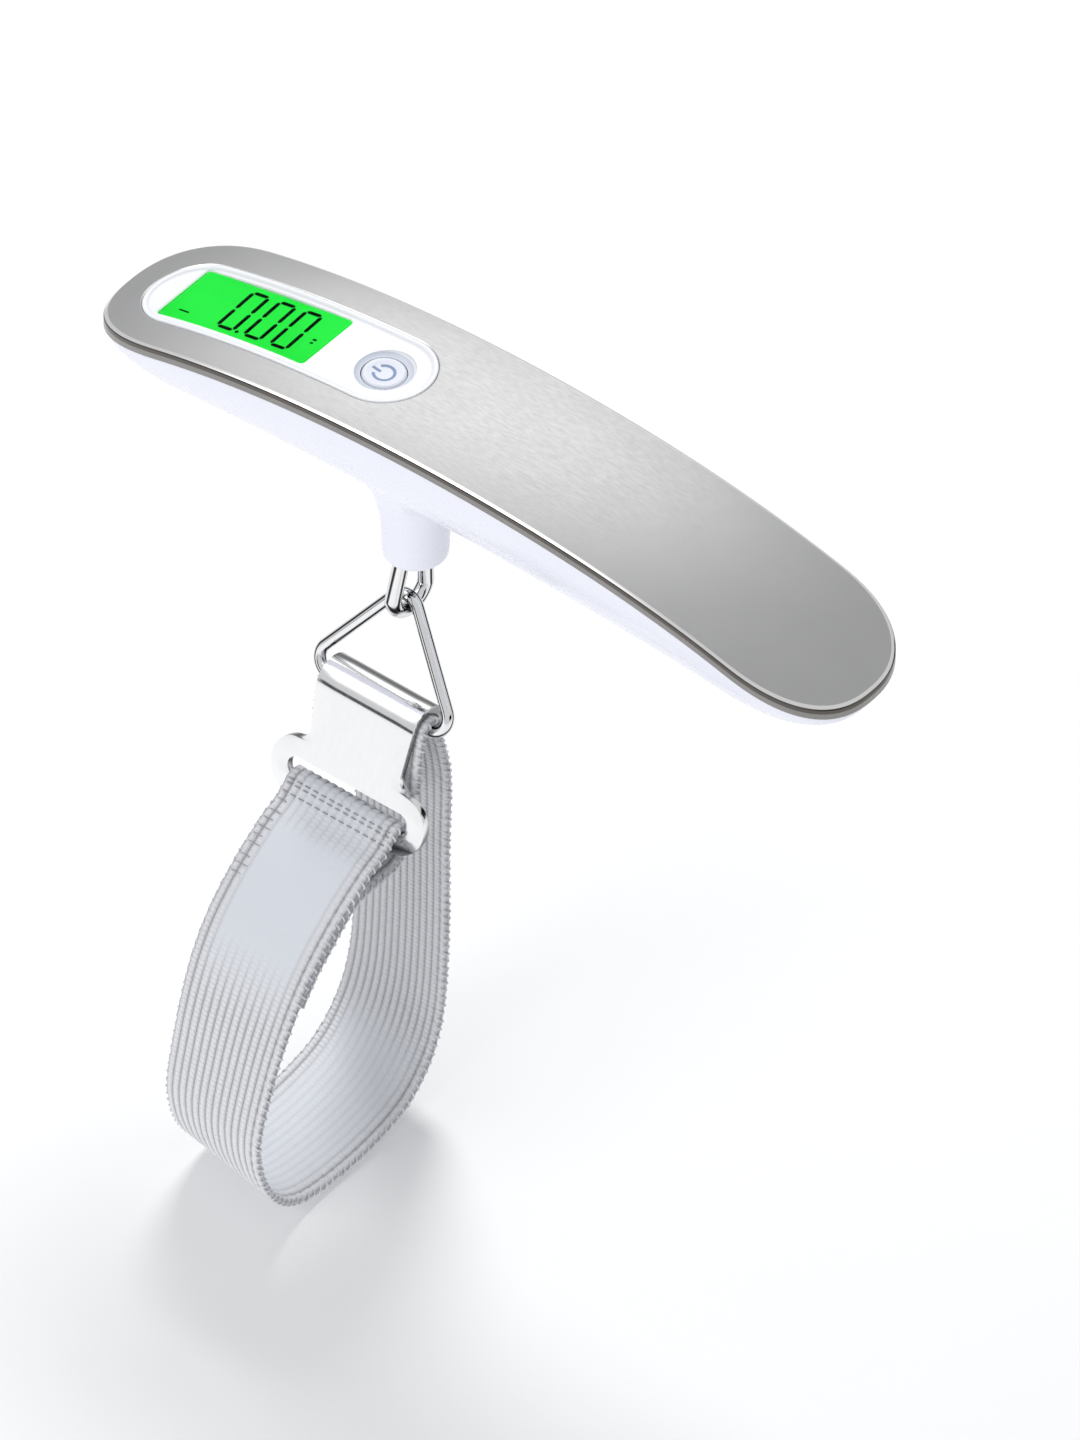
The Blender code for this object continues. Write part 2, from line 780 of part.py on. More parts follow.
def make_load_cell():
    aluminium = material("aluminium", (0.75, 0.76, 0.78), 0.35, 1.0)
    cell = box(
        "load_cell",
        (CELL_X[0], -CELL_WIDTH / 2, CELL_Z[0]),
        (CELL_X[1], CELL_WIDTH / 2, CELL_Z[1]),
        aluminium,
    )
    middle = sum(CELL_Z) / 2
    for index, x in enumerate(CELL_HOLES, 1):
        hole = cylinder(
            f"cutter_cell_hole_{index}", (x, -8, middle), (x, 8, middle), CELL_HOLE_RADIUS, 20, aluminium, True
        )
        cut(cell, hole)
    slot = box(
        "cutter_cell_slot",
        (CELL_HOLES[0], -8.0, middle - 0.8),
        (CELL_HOLES[1], 8.0, middle + 0.8),
        aluminium,
        cutter=True,
    )
    cut(cell, slot)
    screws = material("zinc_screw", (0.7, 0.7, 0.68), 0.3, 1.0)
    for index, x in enumerate(CELL_SCREWS, 1):
        hole = cylinder(f"cutter_cell_screw_{index}", (x, 0, -20), (x, 0, 0), 1.6, 12, aluminium, True)
        cut(cell, hole)
        screw(
            f"load_cell_screw_{index}", x, CELL_Z[1] + GAP, CELL_Z[1] + GAP + 1.6, -16.4, 1.2, 2.6, screws
        )
    hole = cylinder("cutter_hanger_screw", (0, 0, -20), (0, 0, 0), 1.8, 12, aluminium, True)
    cut(cell, hole)
    screw("hanger_screw", 0.0, CELL_Z[1] + GAP, CELL_Z[1] + GAP + 1.5, -20.5, 1.45, 2.8, screws)
    gauge = material("gauge_film", (0.55, 0.4, 0.12), 0.4)
    for index, (x, top) in enumerate(((CELL_HOLES[0], 1), (CELL_HOLES[1], 1), (CELL_HOLES[0], 0), (CELL_HOLES[1], 0)), 1):
        low = CELL_Z[1] + GAP if top else CELL_Z[0] - GAP - 0.3
        box(f"strain_gauge_{index}", (x - 2.6, -2.2, low), (x + 2.6, 2.2, low + 0.3), gauge)


def make_hanger():
    look = material("forged_steel", (0.5, 0.5, 0.5), 0.3, 1.0)
    clevis = box(
        "hanger_block",
        (-CLEVIS_HALF[0], -CLEVIS_HALF[1], CLEVIS_Z[0]),
        (CLEVIS_HALF[0], CLEVIS_HALF[1], CLEVIS_Z[1]),
        look,
    )
    slot = box(
        "cutter_clevis_slot", (-CLEVIS_SLOT, -8, CLEVIS_Z[0] - 5), (CLEVIS_SLOT, 8, -24.5), look, cutter=True
    )
    cut(clevis, slot)
    pin_hole = cylinder("cutter_pin_hole", (-8, 0, PIN_Z), (8, 0, PIN_Z), PIN_RADIUS + GAP, 16, look, True)
    cut(clevis, pin_hole)
    thread = cylinder("cutter_hanger_thread", (0, 0, -21.5), (0, 0, -13), 1.8, 12, look, True)
    cut(clevis, thread)
    cylinder("hanger_pin", (-CLEVIS_HALF[0], 0, PIN_Z), (CLEVIS_HALF[0], 0, PIN_Z), PIN_RADIUS, 16, chrome())


def eye_centre():
    """Centre of the eye's round lower bend, as (Y, Z)."""
    return Vector((-EYE_DROP * math.sin(EYE_LEAN), PIN_Z - EYE_DROP * math.cos(EYE_LEAN)))


def make_eye():
    """A closed wire eye: a round lower bend, legs that close in, and a small upper bend over the pin."""
    top_centre = PIN_RADIUS + GAP + EYE_WIRE - EYE_TOP_LOOP
    rise = top_centre + EYE_DROP
    lean = math.asin((EYE_LOOP - EYE_TOP_LOOP) / rise)
    outline = []
    steps = 16
    for i in range(steps + 1):
        angle = math.pi + lean + (math.pi - 2 * lean) * i / steps
        outline.append((EYE_LOOP * math.cos(angle), EYE_LOOP * math.sin(angle) - EYE_DROP))
    top_steps = 12
    for i in range(top_steps + 1):
        angle = -lean + (math.pi + 2 * lean) * i / top_steps
        outline.append((EYE_TOP_LOOP * math.cos(angle), top_centre + EYE_TOP_LOOP * math.sin(angle)))
    c, s = math.cos(EYE_LEAN), math.sin(EYE_LEAN)
    points = [(0.0, y * c + z * s, z * c - y * s) for y, z in outline]
    eye = wire_object("eye_link", points, EYE_WIRE, chrome(), sides=3, cyclic=True)
    eye.location = (0, 0, PIN_Z * MM)


# ---------------------------------------------------------------- triangle, hook plate and strap


def down_ring():
    return Vector((-math.sin(RING_LEAN), -math.cos(RING_LEAN)))


def ring_apex():
    """Centre of the triangle's wire where it hangs in the eye, as (Y, Z)."""
    reach = EYE_LOOP - EYE_WIRE - RING_WIRE - GAP
    return eye_centre() + reach * down_ring()


def ring_height():
    """Distance from the apex of the bent wire to the bar."""
    half_angle = math.atan(RING_HALF_BASE / RING_SIDE_HEIGHT)
    return RING_SIDE_HEIGHT - (RING_APEX_BEND / math.sin(half_angle) - RING_APEX_BEND)


def bar_axis():
    return ring_apex() + ring_height() * down_ring()


def rounded_corner(before, corner, after, bend, steps):
    """Points of the arc that rounds a corner between two straight runs, in a plane."""
    to_before = (before - corner).normalized()
    to_after = (after - corner).normalized()
    half = to_before.angle(to_after) / 2
    centre = corner + (to_before + to_after).normalized() * (bend / math.sin(half))
    start = corner + to_before * (bend / math.tan(half)) - centre
    end = corner + to_after * (bend / math.tan(half)) - centre
    turn = start.angle(end)
    found = []
    for i in range(steps + 1):
        t = i / steps
        found.append(centre + (math.sin((1 - t) * turn) * start + math.sin(t * turn) * end) / math.sin(turn))
    return found


def make_triangle():
    """A wire triangle in its own plane: u is along X, v runs down from the apex."""
    height = ring_height()
    apex = Vector((0, height - RING_SIDE_HEIGHT))
    right, left = Vector((RING_HALF_BASE, height)), Vector((-RING_HALF_BASE, height))
    outline = rounded_corner(left, apex, right, RING_APEX_BEND, 10)
    outline += rounded_corner(apex, right, left, RING_CORNER_BEND, 8)
    outline += rounded_corner(right, left, apex, RING_CORNER_BEND, 8)
    origin, down = ring_apex(), down_ring()
    points = [(u, origin.x + down.x * v, origin.y + down.y * v) for u, v in outline]
    ring = wire_object("triangle_ring", points, RING_WIRE, chrome(), sides=3, cyclic=True)
    set_joint_origin(ring, (0, *eye_centre()))


def hook_directions():
    """Unit vectors in (Y, Z): down the plate, and out of its front face."""
    down = Vector((-math.sin(HOOK_LEAN), -math.cos(HOOK_LEAN)))
    front = Vector((-math.cos(HOOK_LEAN), math.sin(HOOK_LEAN)))
    return down, front


def hook_half_width(v):
    """Half width of the hook plate at distance v down from the bar's axis."""
    ear_radius = HOOK_EAR_HEIGHT / 2
    head, waist, ear = HOOK_HEAD_WIDTH / 2, HOOK_WAIST_WIDTH / 2, HOOK_EAR_WIDTH / 2
    from_slot = v - HOOK_SLOT_AT
    stadium = 0.0
    if abs(from_slot) < ear_radius:
        stadium = ear - ear_radius + math.sqrt(ear_radius**2 - from_slot**2)
    if v >= HOOK_WAIST_AT:
        return max(stadium, waist)
    return waist + (head - waist) * (1 - v / HOOK_WAIST_AT)


def make_hook_plate():
    """Sheet curled round the sleeve at the top, then flat, with ears and a slot at the bottom."""
    look = material("polished_steel", (0.8, 0.8, 0.8), 0.15, 1.0)
    down, front = hook_directions()
    bar = bar_axis()
    middle_radius = HOOK_CURL_INNER + HOOK_SHEET / 2
    section = []  # (centre in YZ, outward normal in YZ, half width)
    curl_steps = 16
    for i in range(curl_steps):
        angle = HOOK_CURL_TURN * (1 - i / curl_steps)
        normal = front * math.cos(angle) - down * math.sin(angle)
        section.append((bar + normal * middle_radius, normal, HOOK_HEAD_WIDTH / 2))
    bottom = HOOK_SLOT_AT + HOOK_EAR_HEIGHT / 2
    ear_top = HOOK_SLOT_AT - HOOK_EAR_HEIGHT / 2
    stations = [0.0, 4.0, 8.0, HOOK_WAIST_AT]
    for i in range(1, 18):
        angle = math.pi * (i + 0.6) / 19.2
        v = HOOK_SLOT_AT - HOOK_EAR_HEIGHT / 2 * math.cos(angle)
        if v > max(stations[-1], ear_top):
            stations.append(v)
    stations.append(bottom - 0.03)
    for v in stations:
        section.append((bar + front * middle_radius + down * v, front, hook_half_width(v)))
    bm = bmesh.new()
    rows = []
    for centre, normal, half in section:
        row = []
        for u, side in ((-half, 1), (half, 1), (half, -1), (-half, -1)):
            place = centre + normal * (side * HOOK_SHEET / 2)
            row.append(bm.verts.new((u, place.x, place.y)))
        rows.append(row)
    for a, b in zip(rows, rows[1:]):
        for i in range(4):
            j = (i + 1) % 4
            bm.faces.new((a[i], a[j], b[j], b[i]))
    bm.faces.new(rows[0])
    bm.faces.new(rows[-1])
    plate = finish_object("hook_plate", bm, look)
    slot_centre = bar + front * middle_radius + down * HOOK_SLOT_AT
    long, wide = HOOK_SLOT_SIZE
    rings = []
    for side in (-4.0, 4.0):
        ring = []
        for x, v, _ in stadium_ring(-long / 2, long / 2, wide, flat(0.0), 4):
            place = slot_centre + down * v + front * side
            ring.append((x, place.x, place.y))
        rings.append(ring)
    cut(plate, loft("cutter_hook_slot", rings, look, cutter=True))
    set_joint_origin(plate, (0, bar.x, bar.y))


def strap_twist(y, z):
    """Turn of the webbing about the vertical at (y, z)."""
    start, end = STRAP_TWIST_BACK if y > STRAP_BACK_Y and z < STRAP_TWIST_BACK[0] else STRAP_TWIST_FRONT
    share = min(max((start - z) / (start - end), 0.0), 1.0)
    return STRAP_TWIST * share * share * (3 - 2 * share)


def ribbon(name, path, half_width, thickness, look, helper=False):
    """Webbing along a path of (Y, Z) points, as a closed solid."""
    bm = bmesh.new()
    rows = []
    for index, point in enumerate(path):
        before, after = path[max(index - 1, 0)], path[min(index + 1, len(path) - 1)]
        along = (after - before).normalized()
        normal = Vector((-along.y, along.x))
        row = []
        for u, side in ((-1, 1), (1, 1), (1, -1), (-1, -1)):
            place = point + normal * (side * thickness / 2)
            turn = strap_twist(point.x, point.y)
            x = u * half_width * math.cos(turn)
            y = place.x - u * half_width * math.sin(turn)
            row.append(bm.verts.new((x, y, place.y)))
        rows.append(row)
    for a, b in zip(rows, rows[1:]):
        for i in range(4):
            j = (i + 1) % 4
            bm.faces.new((a[i], a[j], b[j], b[i]))
    bm.faces.new(rows[0])
    bm.faces.new(rows[-1])
    return finish_object(name, bm, look, cutter=helper)


def make_strap():
    """One length of webbing: sewn into a sleeve round the bar, and into a loop round the hook plate's foot."""
    look = material("webbing", (0.62, 0.63, 0.65), 0.9)
    down, front = hook_directions()
    bar = bar_axis()
    layer = RING_WIRE + GAP + STRAP_THICKNESS / 2
    half = STRAP_WIDTH / 2
    # sleeve: from the sewn end, up behind the plate and over the bar
    sleeve = [bar + front * (layer - 1.4) + down * STRAP_FOLD, bar + front * (layer - 0.2) + down * 5.0]
    over_steps = 8
    for i in range(over_steps + 1):
        angle = math.pi * i / over_steps
        sleeve.append(bar + (front * math.cos(angle) - down * math.sin(angle)) * layer)
    leaving = [bar + Vector((layer, -1.2)), bar + Vector((layer + 0.4, -3.6))]
    sleeve += leaving
    # foot: over the plate's lower bar, through the slot, and down behind it to the sewn end
    plate_middle = bar + front * (HOOK_CURL_INNER + HOOK_SHEET / 2)
    clear = HOOK_SHEET / 2 + GAP + STRAP_THICKNESS / 2
    over = plate_middle + down * (HOOK_SLOT_AT + HOOK_SLOT_SIZE[1] / 2)
    foot = []
    for i in range(7):
        angle = math.pi * i / 6
        foot.append(over + front * clear * math.cos(angle) - down * 0.62 * clear * math.sin(angle))
    foot += [Vector(p) for p in STRAP_TAIL]
    loop = bezier_chain(leaving + list(STRAP_LOOP), 2)
    strap = ribbon("strap", loop + foot[:1], half, STRAP_THICKNESS, look)
    unite(strap, ribbon("block_strap_sleeve", sleeve, half - 0.7, STRAP_THICKNESS, look, helper=True))
    unite(strap, ribbon("block_strap_foot", [loop[-1]] + foot, half - 0.05, STRAP_THICKNESS, look, helper=True))
    set_joint_origin(strap, (0, bar.x, bar.y))


# ---------------------------------------------------------------- battery and wiring


def make_battery():
    top = BATTERY_TOP
    low = top - BATTERY_HEIGHT
    turned(
        "coin_cell",
        (
            (0.0, low),
            (BATTERY_RADIUS - 1.4, low),
            (BATTERY_RADIUS - 0.9, low + 0.4),
            (BATTERY_RADIUS, low + 0.5),
            (BATTERY_RADIUS, top - 0.2),
            (BATTERY_RADIUS - 0.2, top),
            (0.0, top),
        ),
        32,
        chrome(),
        place=(BATTERY_X, 0, 0),
    )
    holder = box(
        "battery_holder",
        (BATTERY_X - 12.0, -10.7, top - 1.9),
        (BATTERY_X + 12.0, 10.7, top + 1.6),
        black_plastic(),
    )
    pocket = cylinder(
        "cutter_battery_pocket",
        (BATTERY_X, 0, -30),
        (BATTERY_X, 0, top + 0.9),
        BATTERY_RADIUS + GAP,
        32,
        black_plastic(),
        True,
    )
    cut(holder, pocket)
    spring_steel = material("spring_steel", (0.8, 0.72, 0.45), 0.3, 1.0)
    box(
        "battery_contact_negative",
        (BATTERY_X - 7.0, -2.0, top + GAP),
        (BATTERY_X + 4.0, 2.0, top + GAP + 0.3),
        spring_steel,
    )
    slot_low = top - 2.9
    box(
        "battery_contact_positive",
        (BATTERY_X - 11.8, -2.5, slot_low + 0.2),
        (BATTERY_X - 10.6, 2.5, top + 0.2),
        spring_steel,
    )
    notch = box(
        "cutter_contact_notch",
        (BATTERY_X - 12.5, -2.8, -30.0),
        (BATTERY_X - 10.3, 2.8, top + 0.5),
        black_plastic(),
        cutter=True,
    )
    cut(holder, notch)


def make_wiring():
    red = material("red_wire", (0.6, 0.03, 0.02), 0.5)
    black = material("black_wire", (0.02, 0.02, 0.02), 0.5)
    grey = material("grey_wire", (0.4, 0.4, 0.42), 0.5)
    routes = (
        (
            "battery_wire_positive",
            red,
            ((48.5, 7.6, -9.0), (44.0, 7.9, -7.4), (36.0, 7.9, -6.6), (20.0, 7.9, -6.2), (6.0, 7.4, -5.6), (-2.2, 6.0, -6.0)),
        ),
        (
            "battery_wire_negative",
            black,
            ((48.5, -7.6, -9.0), (44.0, -7.9, -7.4), (36.0, -7.9, -6.6), (20.0, -7.9, -6.2), (6.0, -7.4, -5.6), (-2.2, -6.0, -6.0)),
        ),
        (
            "sensor_cable",
            grey,
            ((26.6, 3.2, -6.6), (24.0, 3.4, -5.2), (18.0, 3.4, -4.6), (10.0, 3.4, -4.6), (4.5, 4.2, -5.2), (-2.2, 4.0, -6.0)),
        ),
    )
    for name, look, points in routes:
        wire_object(name, bezier_chain(points, 4), 0.45, look, sides=1)


def make_housing_screws():
    look = material("zinc_screw", (0.7, 0.7, 0.68), 0.3, 1.0)
    for index, x in enumerate(SCREW_X, 1):
        seat = floor_height(x) + 3.0 - GAP
        screw(f"housing_screw_{index}", x, seat - 1.4, seat, crown(x) - 1.8, 1.0, 1.95, look)


def main():
    clear_scene()
    make_top_plate()
    make_upper_housing()
    make_lower_housing()
    make_battery_door()
    make_display()
    make_board()
    make_button_and_switch()
    make_load_cell()
    make_hanger()
    make_eye()
    make_triangle()
    make_hook_plate()
    make_strap()
    make_battery()
    make_wiring()
    make_housing_screws()


main()
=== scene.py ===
"""Looks of the digital luggage scale: fine surfaces, materials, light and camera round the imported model.

Lengths are in millimetres and are turned into metres where a mesh is made. The frame is the model's own:
the origin is on the axis of the neck, level with the plate's crown, +X runs away from the display, +Z is
up, and the loop leans towards -Y.
"""

import math

import bmesh
import bpy
from mathutils import Matrix, Vector, noise


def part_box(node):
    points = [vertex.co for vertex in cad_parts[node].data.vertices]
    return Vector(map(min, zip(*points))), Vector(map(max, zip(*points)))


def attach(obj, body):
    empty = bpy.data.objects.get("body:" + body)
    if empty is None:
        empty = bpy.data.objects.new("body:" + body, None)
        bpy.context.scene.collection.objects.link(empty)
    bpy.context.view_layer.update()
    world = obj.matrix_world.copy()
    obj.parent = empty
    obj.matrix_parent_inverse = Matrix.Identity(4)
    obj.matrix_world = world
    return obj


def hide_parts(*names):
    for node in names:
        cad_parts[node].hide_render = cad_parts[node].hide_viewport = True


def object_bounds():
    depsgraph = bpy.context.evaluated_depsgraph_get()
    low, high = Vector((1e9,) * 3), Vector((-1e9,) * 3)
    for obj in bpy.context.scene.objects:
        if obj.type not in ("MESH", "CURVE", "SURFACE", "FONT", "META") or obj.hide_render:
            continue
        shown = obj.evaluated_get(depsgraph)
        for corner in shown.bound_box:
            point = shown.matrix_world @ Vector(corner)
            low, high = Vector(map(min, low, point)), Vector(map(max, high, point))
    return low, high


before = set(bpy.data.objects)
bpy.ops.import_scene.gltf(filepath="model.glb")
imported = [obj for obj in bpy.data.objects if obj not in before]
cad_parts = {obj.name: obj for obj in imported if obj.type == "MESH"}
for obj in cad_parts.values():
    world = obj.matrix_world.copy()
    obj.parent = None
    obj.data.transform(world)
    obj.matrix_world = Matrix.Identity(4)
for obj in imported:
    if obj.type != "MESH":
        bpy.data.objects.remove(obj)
cad_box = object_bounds()

MM = 0.001
GAP = 0.3
FAR_BELOW = -40.0

# Body
BODY_LENGTH = 160.0
BODY_WIDTH = 31.4
BODY_MID_X = 17.7
END_LENGTH = 19.0
END_POWER = 2.4
PLATE_BEND = 640.0
PLATE_BEND_4 = 7.1e-8
PLATE_SHEET = 0.6
PLATE_SKIRT = 2.4
PLATE_BEVEL = 0.55
COVER_TOP = 0.9
COVER_BOTTOM = 2.4
HULL_TOP = 2.7
HULL_WALL = 1.5
HULL_FLOOR = 18.5
HULL_DROOP = 2.6
# inset at the side, inset at the end, share of the way down to the floor
HULL_PROFILE = (
    (0.35, 0.35, 0.0),
    (0.8, 0.9, 0.25),
    (1.8, 2.0, 0.5),
    (3.4, 3.9, 0.74),
    (5.4, 6.6, 0.91),
    (7.6, 10.0, 0.98),
    (10.0, 14.0, 1.0),
)
WINDOW_X = (-56.7, 2.6)
WINDOW_WIDTH = 17.8
SURROUND_DEPTH = 0.45
RIM_GAP = 0.12

# Display
LCD_X = (-50.8, -19.1)
LCD_WIDTH = 13.5
LCD_MIDDLE_Y = 0.35
LCD_MIDDLE = (LCD_X[0] + LCD_X[1]) / 2
LCD_TILT = math.radians(11.7)
LCD_CORNER = 0.7
LENS_DEPTH = (0.72, 1.02)
FACE_DEPTH = 1.1
DIGIT_SIZE = (3.4, 10.1)
DIGIT_PLACES = (11.5, 17.4, 23.2)
DIGIT_NEAR = 1.9
DIGIT_STROKE = 0.76
DIGIT_SLANT = -0.045
DIGIT_GAP = 0.13
INK_PROUD = 0.02
SMALL_MARKS = (
    ((2.6, 2.4), (4.9, 2.4), 0.18),
    ((29.1, 6.2), (30.1, 6.2), 0.24),
    ((29.2, 5.3), (30.0, 5.3), 0.24),
)

# Button
BUTTON_X = -6.7
BUTTON_RADIUS = 3.88
BUTTON_GAP = 0.14
BUTTON_DEPTH = 0.98
BUTTON_HEIGHT = 1.3
BUTTON_STEM = 1.2
RECESS_RADIUS = 5.2
DISH_DEPTH = 1.3
BUTTON_FACE = 3.1
BUTTON_DISH = 0.34
SIGN_RADIUS = 1.8
SIGN_LINE = 0.27
SIGN_PROUD = 0.03

# Neck, cell and door
CELL_X_HIGH = 44.0
CELL_BOTTOM = -13.6
CELL_SCREWS = (33.5, 40.0)
BOSS_X_LOW = 29.5
BOSS_HALF_WIDTH = 5.0
BOSS_BOTTOM = -18.0
BOSS_HOLE = 1.5
NECK_BOTTOM = -38.0
NECK_BORE = (4.2, 5.45)
NECK_BORE_TOP = -14.5
BATTERY_X = 61.0
DOOR_HALF = (12.2, 10.9)
DOOR_TOP = -15.2
SCREW_X = (-54.6, 90.0)
SCREW_POST = 2.4
SCREW_HOLE = 1.3
SCREW_HEAD_HOLE = 2.3
SCREW_SEAT = 3.0

# Eye and triangle
PIN_Z = -34.2
PIN_RADIUS = 0.85
EYE_WIRE = 1.45
EYE_LOOP = 4.4
EYE_DROP = 11.1
EYE_TOP_LOOP = 2.6
EYE_LEAN = math.radians(8.0)
RING_WIRE = 1.05
RING_WIRE_SEEN = 1.14
RING_LEAN = math.radians(21.0)
RING_HALF_BASE = 16.6
RING_SIDE_HEIGHT = 22.9
RING_APEX_BEND = 3.2
RING_CORNER_BEND = 3.0

# Hook plate
HOOK_LEAN = math.radians(15.5)
HOOK_SHEET = 1.4
HOOK_CURL_INNER = 3.0
HOOK_CURL_TURN = math.radians(168.0)
HOOK_HEAD_WIDTH = 20.8
HOOK_WAIST_WIDTH = 19.4
HOOK_EAR_WIDTH = 33.0
HOOK_EAR_HEIGHT = 11.6
HOOK_FILLET = 2.6
HOOK_SLOT_AT = 16.7
HOOK_SLOT_SIZE = (25.8, 3.9)

# Webbing
STRAP_WIDTH = 23.5
STRAP_THICKNESS = 1.3
STRAP_RIBS = 14
RIB_DEPTH = 0.24
STEPS_PER_RIB = 8
STRAP_STEP = 0.8
PICK_TURN = 7.2
SLEEVE_INSET = 0.2
SLEEVE_END = (22.0, 34.0)
FOOT_FLATNESS = 0.62
THREAD_SIDES = 6
# marks on the webbing: painted shade in its grooves, how flat it is pressed, and the weft's phase
WEBBING_MARKS = ("groove", "pressed", "pick")
STRAP_TWIST = math.radians(9.5)
STRAP_TWIST_BACK = (-68.0, -98.0)
STRAP_TWIST_FRONT = (-88.0, -128.0)
STRAP_BACK_Y = -9.0
STRAP_BOTTOM_Z = -136.0
STRAP_FOLD = 12.0
STRAP_LOOP = (
    (-6.2, -72.6), (-4.8, -79.0), (-3.9, -90.0), (-3.7, -104.0), (-4.2, -121.0), (-5.7, -133.5),
    (-9.7, -142.0), (-17.0, -147.5), (-30.0, -149.6), (-43.0, -148.0), (-50.4, -141.0),
    (-53.6, -130.0), (-51.2, -118.7), (-46.8, -107.5), (-41.5, -99.0), (-34.0, -91.8),
    (-26.8, -86.9), (-22.6, -84.9),
)
STRAP_TAIL = (
    (-17.3, -88.2), (-19.6, -89.8), (-24.0, -89.9), (-30.2, -90.8), (-36.8, -96.2), (-40.5, -99.9),
    (-43.6, -104.5),
)

# Camera
VIEW_AZIMUTH = math.radians(39.4)
VIEW_ELEVATION = math.radians(42.7)
VIEW_TARGET = (44.13, -21.08, -35.84)
VIEW_DISTANCE = 6000.0
VIEW_LENS = 904.5

# Floor, in metres
FLOOR_SIDE = 12.0
FLOOR_GAP = 0.0002

# where most of a noise texture's values are
NOISE_RANGE = (0.3, 0.7)


# ---------------------------------------------------------------- materials


def feed(tree, node, values):
    """Sets a node's inputs. Each value is a plain one or another node's output."""
    for name, value in values.items():
        if isinstance(value, bpy.types.NodeSocket):
            tree.links.new(value, node.inputs[name])
        else:
            node.inputs[name].default_value = value


def add(tree, kind, values=None, **settings):
    """Adds a node and gives its outputs."""
    made = tree.nodes.new("ShaderNode" + kind)
    for name, value in settings.items():
        setattr(made, name, value)
    feed(tree, made, values or {})
    return made.outputs


def new_material(name, roughness, metallic=0.0):
    made = bpy.data.materials.new(name)
    made.use_nodes = True
    shader = made.node_tree.nodes["Principled BSDF"]
    feed(made.node_tree, shader, {"Roughness": roughness, "Metallic": metallic})
    return made, made.node_tree, shader


def grain(tree, scale, stretch=(1, 1, 1), detail=4.0):
    """Noise in the object's own space, drawn out by stretch."""
    place = add(tree, "TexCoord")["Object"]
    drawn_out = add(tree, "Mapping", {"Vector": place, "Scale": stretch})["Vector"]
    return add(tree, "TexNoise", {"Vector": drawn_out, "Scale": scale, "Detail": detail})["Fac"]


def spread(tree, noise_value, low, high):
    """Maps the noise's usual range to low to high."""
    values = {"Value": noise_value, "From Min": NOISE_RANGE[0], "From Max": NOISE_RANGE[1]}
    return add(tree, "MapRange", values | {"To Min": low, "To Max": high})["Result"]


def ramp(tree, value, stops):
    """A colour by value, from (value, colour) stops."""
    made = tree.nodes.new("ShaderNodeValToRGB")
    elements = made.color_ramp.elements
    while len(elements) < len(stops):
        elements.new(0.5)
    for element, (place, colour) in zip(elements, stops):
        element.position = place
        element.color = (*colour, 1.0)
    feed(tree, made, {"Fac": value})
    return made.outputs["Color"]


def tint(tree, noise_value, low, high):
    """A colour between low and high."""
    return ramp(tree, noise_value, list(zip(NOISE_RANGE, (low, high))))


def mixed(tree, share, low, high, **settings):
    values = {"Factor": share, "A": low, "B": high}
    return add(tree, "Mix", values, data_type="RGBA", **settings)["Result"]


def relief(tree, shader, height, strength, distance):
    values = {"Height": height, "Strength": strength, "Distance": distance * MM}
    feed(tree, shader, {"Normal": add(tree, "Bump", values)["Normal"]})


def surface(
    name, colour, roughness, metallic=0.0, scale=700.0, stretch=(1, 1, 1), vary=0.05, bump=0.08, coat=0.0
):
    """A material with grain in its colour, its gloss and its relief."""
    made, tree, shader = new_material(name, roughness, metallic)
    fine = grain(tree, scale, stretch)
    broad = grain(tree, scale * 0.05, detail=2.0)
    dark = [c * (1 - vary) for c in colour]
    light = [min(1.0, c * (1 + vary)) for c in colour]
    looks = {
        "Base Color": tint(tree, broad, dark, light),
        "Roughness": spread(tree, fine, roughness * 0.85, min(1.0, roughness * 1.15)),
        "Coat Weight": coat,
        "Coat Roughness": 0.12,
    }
    feed(tree, shader, looks)
    relief(tree, shader, fine, bump, 0.05)
    return made


def lit_green():
    """The lit display: its green changes a little across it."""
    made, tree, shader = new_material("lcd_green", 0.35)
    broad = grain(tree, 60.0, detail=1.0)
    looks = {
        "Base Color": (0.0, 0.03, 0.003, 1.0),
        "Specular IOR Level": 0.1,
        "Emission Color": tint(tree, broad, (0.004, 0.8, 0.035), (0.012, 0.93, 0.06)),
        "Emission Strength": 0.95,
    }
    feed(tree, shader, looks)
    return made


def clear_plastic():
    made, tree, shader = new_material("clear_window", 0.02)
    feed(tree, shader, {"Base Color": (0.97, 1.0, 0.98, 1.0), "Transmission Weight": 1.0, "IOR": 1.05})
    relief(tree, shader, grain(tree, 300.0), 0.01, 0.02)
    return made


def painted_reflection_metal(name, colour, roughness, stops, stretch=(1, 1, 1)):
    """Polished metal with painted reflection: its colour darkens where it turns away, as in a light tent.
    Stops are (facing, brightness) pairs."""
    made, tree, shader = new_material(name, roughness, 1.0)
    facing = add(tree, "LayerWeight", {"Blend": 0.5})["Facing"]
    # painted reflection: the base colour follows facing, dark where the metal turns away
    painted_reflection = ramp(tree, facing, [(place, [c * level for c in colour]) for place, level in stops])
    fine = grain(tree, 1200.0, stretch)
    worn = tint(tree, fine, (0.96, 0.96, 0.96), (1.0, 1.0, 1.0))
    looks = {
        "Base Color": mixed(tree, 1.0, painted_reflection, worn, blend_type="MULTIPLY"),
        "Roughness": spread(tree, fine, roughness * 0.8, roughness * 1.2),
    }
    feed(tree, shader, looks)
    relief(tree, shader, fine, 0.01, 0.02)
    return made


